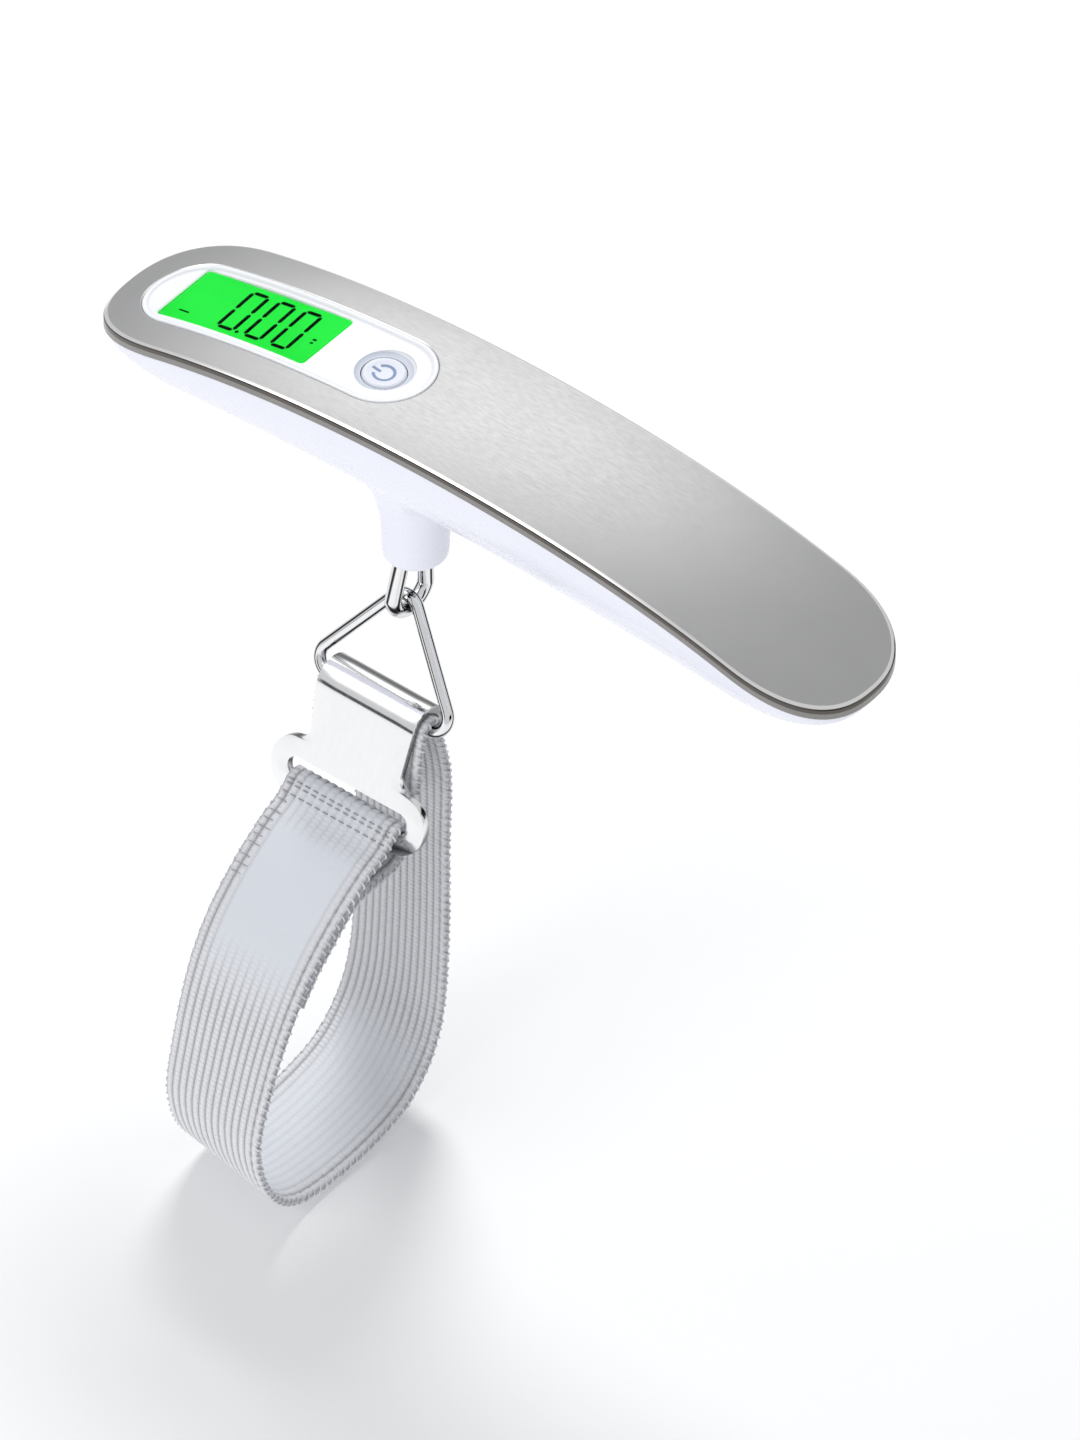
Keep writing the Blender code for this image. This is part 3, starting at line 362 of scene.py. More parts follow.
def webbing_material():
    """Grooves get painted shade, darker than the ribs, and the weft shows as short picks that alternate from
    rib to rib.
    """
    made, tree, shader = new_material("webbing", 0.85)
    groove, pressed, pick = (add(tree, "Attribute", attribute_name=n)["Fac"] for n in WEBBING_MARKS)
    fuzz = grain(tree, 2600.0)
    woven = tint(tree, fuzz, (0.74, 0.745, 0.765), (0.86, 0.865, 0.885))
    sleek = mixed(tree, pressed, woven, (0.76, 0.785, 0.835, 1.0))
    wave = add(tree, "Math", {0: pick}, operation="SINE")["Value"]
    raised = add(tree, "Math", {0: fuzz, 1: 1.5, 2: wave}, operation="MULTIPLY_ADD")["Value"]
    keep = add(tree, "MapRange", {"Value": pressed, "To Min": 1.0, "To Max": 0.12})["Result"]
    height = add(tree, "Math", {0: raised, 1: keep}, operation="MULTIPLY")["Value"]
    relief(tree, shader, height, 0.55, 0.12)
    looks = {
        # painted shade: the groove mark darkens the grooves
        "Base Color": mixed(tree, groove, sleek, (0.40, 0.40, 0.43, 1.0)),
        "Sheen Weight": 0.25,
        "Sheen Roughness": 0.5,
    }
    feed(tree, shader, looks)
    return made


WHITE = surface("white_shell", (0.87, 0.88, 0.97), 0.26, scale=900.0, vary=0.008, bump=0.008, coat=0.15)
WINDOW_WHITE = surface("window_white", (0.80, 0.81, 0.84), 0.2, scale=900.0, vary=0.01, bump=0.006, coat=0.2)
SATIN = surface("satin_steel", (0.52, 0.518, 0.515), 0.33, 1.0, 2200.0, (0.25, 1, 1), 0.015, 0.05)
BRIGHT = surface("bright_edge", (0.93, 0.92, 0.9), 0.12, 1.0, 900.0, (0.3, 1, 1), 0.01, 0.02)
SKIRT = surface("plate_edge", (0.30, 0.292, 0.28), 0.3, 1.0, 1500.0, (0.2, 1, 1), 0.05, 0.05)
SKIRT_SHADE = surface("plate_edge_shade", (0.13, 0.12, 0.11), 0.3, 1.0, 1500.0, (0.2, 1, 1), 0.05, 0.05)
# chrome wire with painted dark bands of reflection in its colour
CHROME = painted_reflection_metal(
    "chrome_wire",
    (0.95, 0.95, 0.95),
    0.05,
    ((0.0, 1.0), (0.29, 1.0), (0.35, 0.06), (0.4, 0.015), (0.47, 0.03), (0.54, 0.85), (1.0, 0.55)),
)
# polished steel with painted darkening of its reflection towards its turned-away sides
POLISHED = painted_reflection_metal(
    "polished_steel",
    (0.97, 0.97, 0.97),
    0.13,
    ((0.0, 1.0), (0.38, 1.0), (0.52, 0.3), (0.66, 0.14), (0.82, 0.2), (1.0, 0.4)),
    (1, 0.3, 0.3),
)
# darker, bluer white for the button's dish: painted shade of the recess
DISH_PAINTED_SHADE = surface("dish_painted_shade", (0.56, 0.59, 0.67), 0.3, scale=900.0, vary=0.01, bump=0.006, coat=0.2)
# the button's pale plastic, darkened and blued as painted shade of its recess
BUTTON_PALE_WITH_PAINTED_SHADE = surface(
    "button_pale_painted_shade", (0.68, 0.705, 0.77), 0.25, scale=900.0, vary=0.01, bump=0.006, coat=0.2
)
PRINT = surface("blue_grey_print", (0.2, 0.27, 0.42), 0.4, vary=0.05)
INK = surface("lcd_ink", (0.003, 0.004, 0.003), 0.6, vary=0.1)
INK.node_tree.nodes["Principled BSDF"].inputs["Specular IOR Level"].default_value = 0.0
SEAM_THREAD = surface("seam_thread", (0.36, 0.36, 0.38), 0.8, scale=3000.0, vary=0.15, bump=0.5)
THREAD = surface("sewing_thread", (0.66, 0.67, 0.70), 0.8, scale=3000.0, vary=0.15, bump=0.5)
WEBBING = webbing_material()
LCD_GREEN = lit_green()
CLEAR = clear_plastic()

# what the pieces that keep their shape are made of
INNER_LOOKS = (
    (
        surface("circuit_board", (0.015, 0.17, 0.05), 0.35, scale=1500.0, vary=0.25, bump=0.25, coat=0.3),
        ("main_pcb",),
    ),
    (
        surface("dark_plastic", (0.02, 0.02, 0.021), 0.5, scale=2500.0, vary=0.2, bump=0.2),
        ("lcd_frame", "tact_switch_body", "battery_holder"),
    ),
    (surface("glob_top", (0.012, 0.012, 0.013), 0.22, vary=0.1, bump=0.1), ("control_chip",)),
    (surface("light_guide", (0.5, 0.9, 0.5), 0.25, vary=0.08, bump=0.1), ("lcd_backlight", "backlight_led")),
    (
        surface("elastomer", (0.5, 0.12, 0.22), 0.7, scale=1800.0, stretch=(8, 1, 1), vary=0.4, bump=0.2),
        ("zebra_connector",),
    ),
    (surface("red_plastic", (0.45, 0.06, 0.04), 0.45, vary=0.1), ("tact_switch_plunger",)),
    (
        surface("milled_aluminium", (0.72, 0.73, 0.75), 0.34, 1.0, 900.0, (0.1, 1, 1), 0.06, 0.25),
        ("load_cell",),
    ),
    (
        surface("gauge_film", (0.5, 0.3, 0.07), 0.35, scale=2500.0, stretch=(6, 1, 1), vary=0.35),
        [f"strain_gauge_{k}" for k in (1, 2, 3, 4)],
    ),
    (
        surface("zinc", (0.66, 0.66, 0.63), 0.3, 1.0, 1200.0, vary=0.08, bump=0.1),
        ("load_cell_screw_1", "load_cell_screw_2", "hanger_screw", "clock_crystal"),
    ),
    (
        surface("machined_steel", (0.5, 0.5, 0.5), 0.3, 1.0, 900.0, (1, 1, 0.1), 0.06, 0.2),
        ("hanger_block", "hanger_pin"),
    ),
    (
        surface("spring_metal", (0.8, 0.66, 0.36), 0.28, 1.0, 1200.0, vary=0.08, bump=0.1),
        ("battery_contact_positive", "battery_contact_negative"),
    ),
    (surface("red_lead", (0.5, 0.02, 0.015), 0.45, vary=0.1), ("battery_wire_positive",)),
    (surface("black_lead", (0.015, 0.015, 0.015), 0.45, vary=0.1), ("battery_wire_negative",)),
    (surface("grey_lead", (0.33, 0.33, 0.35), 0.5, vary=0.1), ("sensor_cable",)),
    (LCD_GREEN, ("lcd_glass",)),
)


# ---------------------------------------------------------------- mesh helpers


def new_object(name, data):
    made = bpy.data.objects.new(name, data)
    bpy.context.scene.collection.objects.link(made)
    return made


def shade(made, angle=35.0):
    made.data.shade_smooth()
    made.data.set_sharp_from_angle(angle=math.radians(angle))


def solid(name, points, faces, look, angle=35.0):
    """A mesh object from points in millimetres."""
    mesh = bpy.data.meshes.new(name)
    mesh.from_pydata([Vector(p) * MM for p in points], [], faces)
    bm = bmesh.new()
    bm.from_mesh(mesh)
    bmesh.ops.recalc_face_normals(bm, faces=bm.faces)
    bm.to_mesh(mesh)
    bm.free()
    mesh.materials.append(look)
    made = new_object(name, mesh)
    shade(made, angle)
    return made


def skin(faces, rows, count, base=0, capped=True):
    """Faces between neighbouring rings of count points, the first of which starts at base."""
    for a in range(base, base + (rows - 1) * count, count):
        for i in range(count):
            j = (i + 1) % count
            faces.append((a + i, a + j, a + count + j, a + count + i))
    if capped:
        faces.append(tuple(range(base, base + count)))
        faces.append(tuple(reversed(range(base + (rows - 1) * count, base + rows * count))))


def loft(name, rings, look, angle=35.0):
    """Skins rings of equal length, each made of a +Y chain and its mirror image, and closes both ends."""
    count = len(rings[0])
    faces = []
    skin(faces, len(rings), count, capped=False)
    for low in (0, (len(rings) - 1) * count):
        for i in range(count // 2 - 1):
            faces.append((low + i, low + i + 1, low + count - 2 - i, low + count - 1 - i))
    return solid(name, [p for ring in rings for p in ring], faces, look, angle)


def turned(name, profile, sides, look, place):
    """A solid of revolution about Z: profile is (radius, z) from one end of the axis to the other."""
    points, rings, faces = [], [], []
    for radius, z in profile:
        if radius < 1e-6:
            rings.append([len(points)])
            points.append((place[0], place[1], z + place[2]))
            continue
        rings.append(list(range(len(points), len(points) + sides)))
        for i in range(sides):
            t = 2 * math.pi * i / sides
            points.append((place[0] + radius * math.cos(t), place[1] + radius * math.sin(t), z + place[2]))
    for a, b in zip(rings, rings[1:]):
        for i in range(sides):
            j = (i + 1) % sides
            corners = (a[i % len(a)], a[j % len(a)], b[j % len(b)], b[i % len(b)])
            faces.append(tuple(dict.fromkeys(corners)))
    return solid(name, points, faces, look)


def rod(name, x, radius, low, high, sides):
    """An upright cylinder on the body's middle line."""
    return turned(name, ((0, low), (radius, low), (radius, high), (0, high)), sides, WHITE, (x, 0, 0))


def block(name, low, high, look):
    x0, y0, z0 = low
    x1, y1, z1 = high
    points = [(x, y, z) for x in (x0, x1) for y in (y0, y1) for z in (z0, z1)]
    faces = [(0, 1, 3, 2), (4, 6, 7, 5), (0, 4, 5, 1), (2, 3, 7, 6), (0, 2, 6, 4), (1, 5, 7, 3)]
    return solid(name, points, faces, look)


def apply_modifiers(made, angle=35.0):
    graph = bpy.context.evaluated_depsgraph_get()
    mesh = bpy.data.meshes.new_from_object(made.evaluated_get(graph))
    made.modifiers.clear()
    made.data = mesh
    shade(made, angle)


def carve(target, tools, operation="DIFFERENCE", angle=35.0):
    """Cuts the tools from the target, or joins them on, and removes the tools."""
    for tool in tools:
        modifier = target.modifiers.new(tool.name, "BOOLEAN")
        modifier.operation = operation
        modifier.solver = "EXACT"
        modifier.object = tool
    apply_modifiers(target, angle)
    for tool in tools:
        bpy.data.objects.remove(tool, do_unlink=True)


def round_edges(target, width, segments, angle):
    modifier = target.modifiers.new("round", "BEVEL")
    modifier.width = width * MM
    modifier.segments = segments
    modifier.limit_method = "ANGLE"
    modifier.angle_limit = math.radians(angle)
    apply_modifiers(target, 50.0)


def wire(name, points, radius, look, sides):
    """A closed wire through the points."""
    curve = bpy.data.curves.new(name, "CURVE")
    curve.dimensions = "3D"
    curve.bevel_depth = radius * MM
    curve.bevel_resolution = sides
    curve.use_fill_caps = True
    spline = curve.splines.new("POLY")
    spline.points.add(len(points) - 1)
    for place, point in zip(spline.points, points):
        place.co = (*(c * MM for c in point), 1.0)
    spline.use_cyclic_u = True
    curve.materials.append(look)
    return new_object(name, curve)


def smooth_chain(points, steps):
    """Points on a Catmull-Rom curve through the given ones."""
    found = []
    last = len(points) - 1
    for i in range(last):
        before, start, end, after = (Vector(points[min(max(i + k, 0), last)]) for k in (-1, 0, 1, 2))
        slope = end - before
        bend = 2 * before - 5 * start + 4 * end - after
        turn = 3 * start - before - 3 * end + after
        for s in range(steps):
            t = s / steps
            found.append(0.5 * (2 * start + slope * t + bend * t * t + turn * t * t * t))
    found.append(Vector(points[last]))
    return found


def place_piece(made, body, slot, *nodes):
    """Every piece rides on a body and stands for the nodes named; the slot is not used."""
    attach(made, body)
    if nodes:
        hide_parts(*nodes)


# ---------------------------------------------------------------- body


def crown(x):
    u = x - BODY_MID_X
    return -u * u / PLATE_BEND - PLATE_BEND_4 * u**4


def floor_height(x):
    u = (x - BODY_MID_X) / (BODY_LENGTH / 2)
    return -HULL_FLOOR - HULL_DROOP * u * u


def under_crown(depth):
    return lambda x: crown(x) - depth


def flat(z):
    return lambda x: z


def arc_points(steps, offset):
    """Cosine and sine of angles up a quarter turn, the first offset steps from its start."""
    angles = (math.pi / 2 * (i + offset) / steps for i in range(steps))
    return [(math.cos(angle), math.sin(angle)) for angle in angles]


def mirrored(chain, height):
    """A closed ring: the chain at +Y, then its mirror image, raised to height(x)."""
    return [(x, y, height(x)) for x, y in chain] + [(x, -y, height(x)) for x, y in reversed(chain)]


def plan_ring(side_inset, end_inset, height, middle_steps=90, end_steps=22):
    """The body's plan outline, raised to height(x)."""
    half = BODY_LENGTH / 2 - end_inset
    width = BODY_WIDTH / 2 - side_inset
    power = 2 / END_POWER
    straight = half - END_LENGTH
    end = [(straight + END_LENGTH * c**power, width * s**power) for c, s in arc_points(end_steps, 0.45)]
    chain = [(BODY_MID_X - x, y) for x, y in end]
    for i in range(middle_steps + 1):
        chain.append((BODY_MID_X + 2 * straight * i / middle_steps - straight, width))
    chain += [(BODY_MID_X + x, y) for x, y in reversed(end)]
    return mirrored(chain, height)


def slot_ring(low_x, high_x, width, height, radius=None, bend_steps=16, steps=30):
    """A closed ring with rounded corners, or round ends where radius is left out."""
    r = width / 2 if radius is None else radius
    side = width / 2 - r
    bend = arc_points(bend_steps, 0.35)
    chain = [(low_x + r - r * c, side + r * s) for c, s in bend]
    chain += [(low_x + r + (high_x - low_x - 2 * r) * i / steps, width / 2) for i in range(steps + 1)]
    chain += [(high_x - r + r * c, side + r * s) for c, s in reversed(bend)]
    return mirrored(chain, height)


def window_ring(inset, height):
    return slot_ring(WINDOW_X[0] + inset, WINDOW_X[1] - inset, WINDOW_WIDTH - 2 * inset, height)


# the plate's material on each band of its outline: 0 satin, 1 bright, 2 skirt, 3 the skirt's shaded top
PLATE_BANDS = (1, 1, 3, 3, 3, 2, 2, 2, 2, 0)


def make_plate():
    """Pressed plate: satin face, bright bevelled edge, and a turned-down skirt."""
    outline = (
        (PLATE_BEVEL + 0.06, 0.0), (PLATE_BEVEL, 0.012), (0.12, 0.22), (0.05, 0.3), (0.0, 0.42),
        (0.0, 1.15), (0.0, 1.75), (0.0, PLATE_SKIRT - 0.1), (0.08, PLATE_SKIRT),
        (PLATE_SHEET, PLATE_SKIRT), (PLATE_SHEET, PLATE_SHEET),
    )
    rings = [plan_ring(inset, inset, under_crown(depth)) for inset, depth in outline]
    plate = loft("plate", rings, SATIN, 20.0)
    for look in (BRIGHT, SKIRT, SKIRT_SHADE):
        plate.data.materials.append(look)
    for face in plate.data.polygons[: len(rings[0]) * (len(rings) - 1)]:
        face.material_index = PLATE_BANDS[face.index // len(rings[0])]
    lip = 0.22
    hole = [
        window_ring(0.0, flat(FAR_BELOW)),
        window_ring(0.0, under_crown(lip)),
        window_ring(-lip * 0.3, under_crown(lip * 0.3)),
        window_ring(-lip * 1.3, under_crown(-lip * 0.3)),
        window_ring(-lip * 1.3, flat(5.0)),
    ]
    carve(plate, [loft("plate_hole", hole, BRIGHT)], angle=20.0)
    place_piece(plate, "body", "satin_steel", "top_plate")


def button_recess():
    """The dished recess round the button, as a cutter."""
    top = crown(BUTTON_X)
    above = top + 2.0
    inner = BUTTON_RADIUS + BUTTON_GAP
    across = RECESS_RADIUS + 0.25 - inner
    rise = DISH_DEPTH - SURROUND_DEPTH
    dish_steps = 7
    dish = [(0.0, top - COVER_BOTTOM - 2.0), (inner, top - COVER_BOTTOM - 2.0), (inner, top - DISH_DEPTH)]
    for i in range(dish_steps + 1):
        t = i / dish_steps
        dish.append((inner + across * t, top - DISH_DEPTH + rise * t**2.2 + 0.02 * t))
    dish += [(RECESS_RADIUS + 0.5, above), (0.0, above)]
    return turned("button_recess", dish, 72, WINDOW_WHITE, (BUTTON_X, 0, 0))


def paint_dish_shade(cover):
    """Paints shade into the dish: its own faces get a darker, bluer white as painted shade of the recess."""
    cover.data.materials.append(DISH_PAINTED_SHADE)
    for face in cover.data.polygons:
        x, y, z = face.center / MM
        within = math.hypot(x - BUTTON_X, y) < RECESS_RADIUS - 0.15
        if within and crown(x) - DISH_DEPTH - 0.6 < z < crown(x) - SURROUND_DEPTH - 0.05:
            face.material_index = 1


def make_cover():
    """White cover under the plate, with the raised surround that fills the window."""
    inset = PLATE_SHEET + GAP
    rings = [plan_ring(inset, inset, under_crown(depth)) for depth in (COVER_TOP, COVER_BOTTOM)]
    cover = loft("window_cover", rings, WINDOW_WHITE)
    rim = (
        (0.0, COVER_BOTTOM - 0.3), (0.0, 0.1), (0.04, 0.0), (0.14, -0.08), (0.3, -0.12),
        (0.5, -0.11), (0.7, -0.03), (0.85, 0.1), (0.98, 0.26), (1.12, 0.39), (1.35, SURROUND_DEPTH),
    )
    rings = [window_ring(RIM_GAP + inset, under_crown(depth)) for inset, depth in rim]
    carve(cover, [loft("surround", rings, WINDOW_WHITE)], "UNION")
    edge = 0.22
    opening = []
    for grow, height in (
        (0.0, flat(FAR_BELOW)),
        (0.0, under_crown(SURROUND_DEPTH + edge)),
        (edge, under_crown(SURROUND_DEPTH)),
        (edge, under_crown(-3.0)),
    ):
        ring = slot_ring(LCD_X[0] - grow, LCD_X[1] + grow, LCD_WIDTH + 2 * grow, height, LCD_CORNER + grow, 6)
        opening.append([(x, y + LCD_MIDDLE_Y, z) for x, y, z in ring])
    cutters = [loft("lcd_opening", opening, WINDOW_WHITE), button_recess()]
    for k, x in enumerate(SCREW_X):
        cutters.append(rod(f"cover_hole_{k}", x, SCREW_HOLE, FAR_BELOW, crown(x) - 1.4, 16))
    carve(cover, cutters)
    paint_dish_shade(cover)
    place_piece(cover, "body", "white_shell", "upper_housing")


def hull_rings():
    """Rings of the lower shell: up the outside from the underside, then down the inside."""
    fine = [tuple(p) for p in smooth_chain(HULL_PROFILE, 3)]

    def height(share, lift):
        return lambda x: (1 - share) * (crown(x) - HULL_TOP) + share * (floor_height(x) + lift)

    rings = [plan_ring(side, end, height(share, 0.0)) for side, end, share in reversed(fine)]
    rings += [
        plan_ring(side + HULL_WALL, end + HULL_WALL, height(share, HULL_WALL))
        for side, end, share in HULL_PROFILE
    ]
    return rings


def neck_ring(z, towards_display, away, side, fullness, count=80):
    """A superellipse round the neck whose reach differs along -X, +X and Y."""
    points = []
    for i in range(count):
        angle = 2 * math.pi * (i + 0.5) / count
        c, s = math.cos(angle), math.sin(angle)
        along = away if c > 0 else towards_display
        x = math.copysign(abs(c) ** (2 / fullness), c) * along
        points.append((x, math.copysign(abs(s) ** (2 / fullness), s) * side, z))
    upper = sorted((p for p in points if p[1] > 0), key=lambda p: p[0])
    lower = sorted((p for p in points if p[1] < 0), key=lambda p: -p[0])
    return upper + lower


def make_neck():
    """The neck and its flare: each row is a height, the reaches along -X, +X and Y, and how full it is."""
    sizes = (
        (NECK_BOTTOM, 5.1, 5.1, 5.25, 2.0),
        (NECK_BOTTOM + 0.15, 5.4, 5.4, 5.5, 2.0),
        (NECK_BOTTOM + 0.6, 5.65, 5.65, 5.72, 2.0),
        (-33.0, 5.85, 5.85, 5.85, 2.0),
        (-30.0, 6.1, 5.95, 5.95, 2.0),
        (-27.5, 6.7, 6.1, 6.1, 2.1),
        (-25.0, 7.7, 6.4, 6.3, 2.25),
        (-22.8, 9.4, 7.0, 6.8, 2.5),
        (-20.8, 12.0, 8.0, 7.5, 2.8),
        (-19.2, 16.0, 10.0, 8.2, 3.2),
        (-17.6, 24.0, 15.0, 8.6, 3.6),
    )
    reaches = smooth_chain([size[:3] for size in sizes], 4)
    sides = smooth_chain([(size[0], *size[3:]) for size in sizes], 4)
    return loft("neck", [neck_ring(*a, b[1], b[2]) for a, b in zip(reaches, sides)], WHITE)


def door_block(name, gap):
    """The door's outline as a block, smaller by the gap."""
    low = (BATTERY_X - DOOR_HALF[0] + gap, -DOOR_HALF[1] + gap, FAR_BELOW)
    return block(name, low, (BATTERY_X + DOOR_HALF[0] - gap, DOOR_HALF[1] - gap, DOOR_TOP - gap), WHITE)


def make_shell():
    """Lower shell: hull, neck, the load cell's boss and the screw posts, less their holes and the door's."""
    shell = loft("lower_shell", hull_rings(), WHITE)
    boss_low = (BOSS_X_LOW, -BOSS_HALF_WIDTH, BOSS_BOTTOM)
    boss_high = (CELL_X_HIGH, BOSS_HALF_WIDTH, CELL_BOTTOM - GAP)
    joined = [make_neck(), block("boss", boss_low, boss_high, WHITE)]
    for k, x in enumerate(SCREW_X):
        top = crown(x + math.copysign(SCREW_POST, x)) - COVER_BOTTOM - GAP
        joined.append(rod(f"post_{k}", x, SCREW_POST, floor_height(x) + 1.2, top, 24))
    carve(shell, joined, "UNION")
    along, side = NECK_BORE
    bore = [neck_ring(z, along, along, side, 2.0, 40) for z in (NECK_BOTTOM - 3.0, NECK_BORE_TOP)]
    cutters = [loft("neck_bore", bore, WHITE)]
    for k, x in enumerate(SCREW_X):
        seat = floor_height(x) + SCREW_SEAT
        outline = ((SCREW_HEAD_HOLE, FAR_BELOW), (SCREW_HEAD_HOLE, seat), (SCREW_HOLE, seat), (SCREW_HOLE, 0))
        cutters.append(turned(f"screw_hole_{k}", ((0, FAR_BELOW), *outline, (0, 0)), 28, WHITE, (x, 0, 0)))
    for k, x in enumerate(CELL_SCREWS):
        cutters.append(rod(f"boss_hole_{k}", x, BOSS_HOLE, BOSS_BOTTOM + 0.4, CELL_BOTTOM + 0.6, 16))
    cutters.append(door_block("door_opening", 0.0))
    carve(shell, cutters)
    place_piece(shell, "body", "white_shell", "lower_housing")


def make_door():
    """Snap door in the underside, with three grip ridges."""
    door = loft("battery_cover", hull_rings(), WHITE)
    carve(door, [door_block("door_shape", GAP)], "INTERSECT")
    place_piece(door, "door", "white_shell", "battery_door")
    section = ((-0.45, 0.05), (-0.38, -0.22), (-0.18, -0.36), (0.18, -0.36), (0.38, -0.22), (0.45, 0.05))
    places = ((-4.6, 0.45), (-4.3, 1.0), (4.3, 1.0), (4.6, 0.45))
    points, faces = [], []
    for ridge in range(3):
        x = BATTERY_X - 8.6 + 1.5 * ridge
        base = len(points)
        for y, size in places:
            for dx, dz in section:
                points.append((x + dx * size, y, floor_height(x) + dz * (size if dz < 0 else 1)))
        skin(faces, len(places), len(section), base)
    ridges = solid("door_ridges", points, faces, WHITE, 50.0)
    place_piece(ridges, "door", "white_shell")


def make_case_screws():
    """Cross-head screws in the underside."""
    look = surface("screw_steel", (0.6, 0.6, 0.58), 0.25, 1.0, 900.0, vary=0.06, bump=0.08)
    for k, x in enumerate(SCREW_X, 1):
        seat = floor_height(x) + SCREW_SEAT - GAP
        tip = crown(x) - 1.8
        head = seat - 1.4
        profile = (
            (0, head), (1.3, head), (1.7, head + 0.12), (1.92, head + 0.4), (1.95, seat - 0.1),
            (1.9, seat), (1.0, seat), (1.0, tip - 0.6), (0.4, tip), (0, tip),
        )
        screw = turned(f"case_screw_{k}", profile, 32, look, (x, 0, 0))
        cross = [
            block(f"cross_{k}_{n}", (x - a, -b, head - 1), (x + a, b, head + 0.8), look)
            for n, (a, b) in enumerate(((1.15, 0.24), (0.24, 1.15)))
        ]
        carve(screw, cross)
        place_piece(screw, "body", "zinc_screw", f"housing_screw_{k}")


# ---------------------------------------------------------------- display and button


def lcd_point(x, y, depth):
    """A point of the display's own tilted plane, depth below the plate at its middle."""
    c, s = math.cos(LCD_TILT), math.sin(LCD_TILT)
    along = x - LCD_MIDDLE
    return (LCD_MIDDLE + along * c + depth * s, y + LCD_MIDDLE_Y, crown(LCD_MIDDLE) + along * s - depth * c)


def lcd_slab(name, inset, top, bottom, look, edge=0.06):
    """A rounded slab square to the display."""
    rings = []
    for extra, depth in ((0, bottom), (0, top + edge), (edge, top)):
        grow = inset + extra
        low, high, width = LCD_X[0] + grow, LCD_X[1] - grow, LCD_WIDTH - 2 * grow
        ring = slot_ring(low, high, width, flat(0.0), max(LCD_CORNER - grow, 0.3), 6)
        rings.append([lcd_point(x, y, depth) for x, y, _ in ring])
    return loft(name, rings, look)


def segment(points, faces, start, end, half):
    """One pointed bar of a digit, as a thin prism. Start and end are on the display plane."""
    start, end = (Vector((u + DIGIT_SLANT * v, v)) for u, v in (start, end))
    along = (end - start).normalized() * half
    across = Vector((-along.y, along.x))
    outline = (
        start,
        start + along + across,
        end - along + across,
        end,
        end - along - across,
        start + along - across,
    )
    base = len(points)
    for depth in (FACE_DEPTH - INK_PROUD, FACE_DEPTH + INK_PROUD):
        points += [lcd_point(LCD_X[0] + p.x, p.y - LCD_WIDTH / 2, depth) for p in outline]
    skin(faces, 2, len(outline), base)


def make_display():
    lens = lcd_slab("clear_lens", 0.12, *LENS_DEPTH, CLEAR)
    place_piece(lens, "body", "clear_window", "display_lens")
    face = lcd_slab("lcd_face", 0.05, FACE_DEPTH, 2.1, LCD_GREEN, 0.04)
    place_piece(face, "body", "lcd")
    points, faces = [], []
    wide, tall = DIGIT_SIZE
    near, far = DIGIT_NEAR, DIGIT_NEAR + tall
    middle = (near + far) / 2
    bars = []
    for left in DIGIT_PLACES:
        right = left + wide
        for x in (left, right):
            bars.append(((x, near + DIGIT_GAP), (x, middle - DIGIT_GAP), DIGIT_STROKE / 2))
            bars.append(((x, middle + DIGIT_GAP), (x, far - DIGIT_GAP), DIGIT_STROKE / 2))
        for y in (near, far):
            bars.append(((left + DIGIT_GAP, y), (right - DIGIT_GAP, y), DIGIT_STROKE / 2))
    point_at = DIGIT_PLACES[0] + wide + 0.9
    bars.append(((point_at - 0.45, near), (point_at + 0.45, near), 0.42))
    for start, end, half in (*bars, *SMALL_MARKS):
        segment(points, faces, start, end, half)
    digits = solid("lcd_digits", points, faces, INK)
    place_piece(digits, "body", "lcd")


def button_face(radius):
    """Height of the button's slightly dished face."""
    return crown(BUTTON_X) - BUTTON_DEPTH - BUTTON_DISH * (1 - min(radius / BUTTON_FACE, 1.0) ** 2)


def sign_strip(points, faces, pairs):
    """A thin printed strip on the button's face, from pairs of points on its two edges."""
    base = len(points)
    for left, right in pairs:
        for (x, y), lift in ((left, 1), (right, 1), (right, -1), (left, -1)):
            points.append((BUTTON_X + x, y, button_face(math.hypot(x, y)) + lift * SIGN_PROUD))
    skin(faces, len(pairs), 4, base)


def make_button():
    top = crown(BUTTON_X) - BUTTON_DEPTH
    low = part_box("power_button")[0][2] / MM
    profile = [(r, button_face(r)) for r in (0.0, 0.6, 1.2, 1.8, 2.4, 2.8, BUTTON_FACE)]
    profile += [(3.35, top - 0.01), (3.55, top - 0.06), (3.7, top - 0.17), (3.78, top - 0.34)]
    profile += [(BUTTON_RADIUS, top - 0.5), (BUTTON_RADIUS, top - BUTTON_HEIGHT)]
    profile += [(BUTTON_STEM, top - BUTTON_HEIGHT), (BUTTON_STEM, low), (0.0, low)]
    cap = turned("button_cap", profile, 64, BUTTON_PALE_WITH_PAINTED_SHADE, (BUTTON_X, 0, 0))
    place_piece(cap, "button", "white_button", "power_button")
    # the power sign: an open ring and a bar
    opening = math.radians(34)
    arc_steps = 48
    arc = []
    for i in range(arc_steps + 1):
        angle = math.pi + opening + (2 * math.pi - 2 * opening) * i / arc_steps
        c, s = math.cos(angle), math.sin(angle)
        arc.append([((SIGN_RADIUS + d) * c, (SIGN_RADIUS + d) * s) for d in (SIGN_LINE, -SIGN_LINE)])
    points, faces = [], []
    sign_strip(points, faces, arc)
    sign_strip(points, faces, [((-x, SIGN_LINE), (-x, -SIGN_LINE)) for x in (0.75, 1.2, 1.65, 2.1, 2.45)])
    sign = solid("power_sign", points, faces, PRINT)
    place_piece(sign, "button", "white_button")


# ---------------------------------------------------------------- eye, triangle and hook plate


def along_turn(radius, start, turn, steps):
    """Points on a circle round the origin, from the start angle through the turn."""
    angles = [start + turn * i / steps for i in range(steps + 1)]
    return [(radius * math.cos(angle), radius * math.sin(angle)) for angle in angles]


def eye_centre():
    return Vector((-EYE_DROP * math.sin(EYE_LEAN), PIN_Z - EYE_DROP * math.cos(EYE_LEAN)))


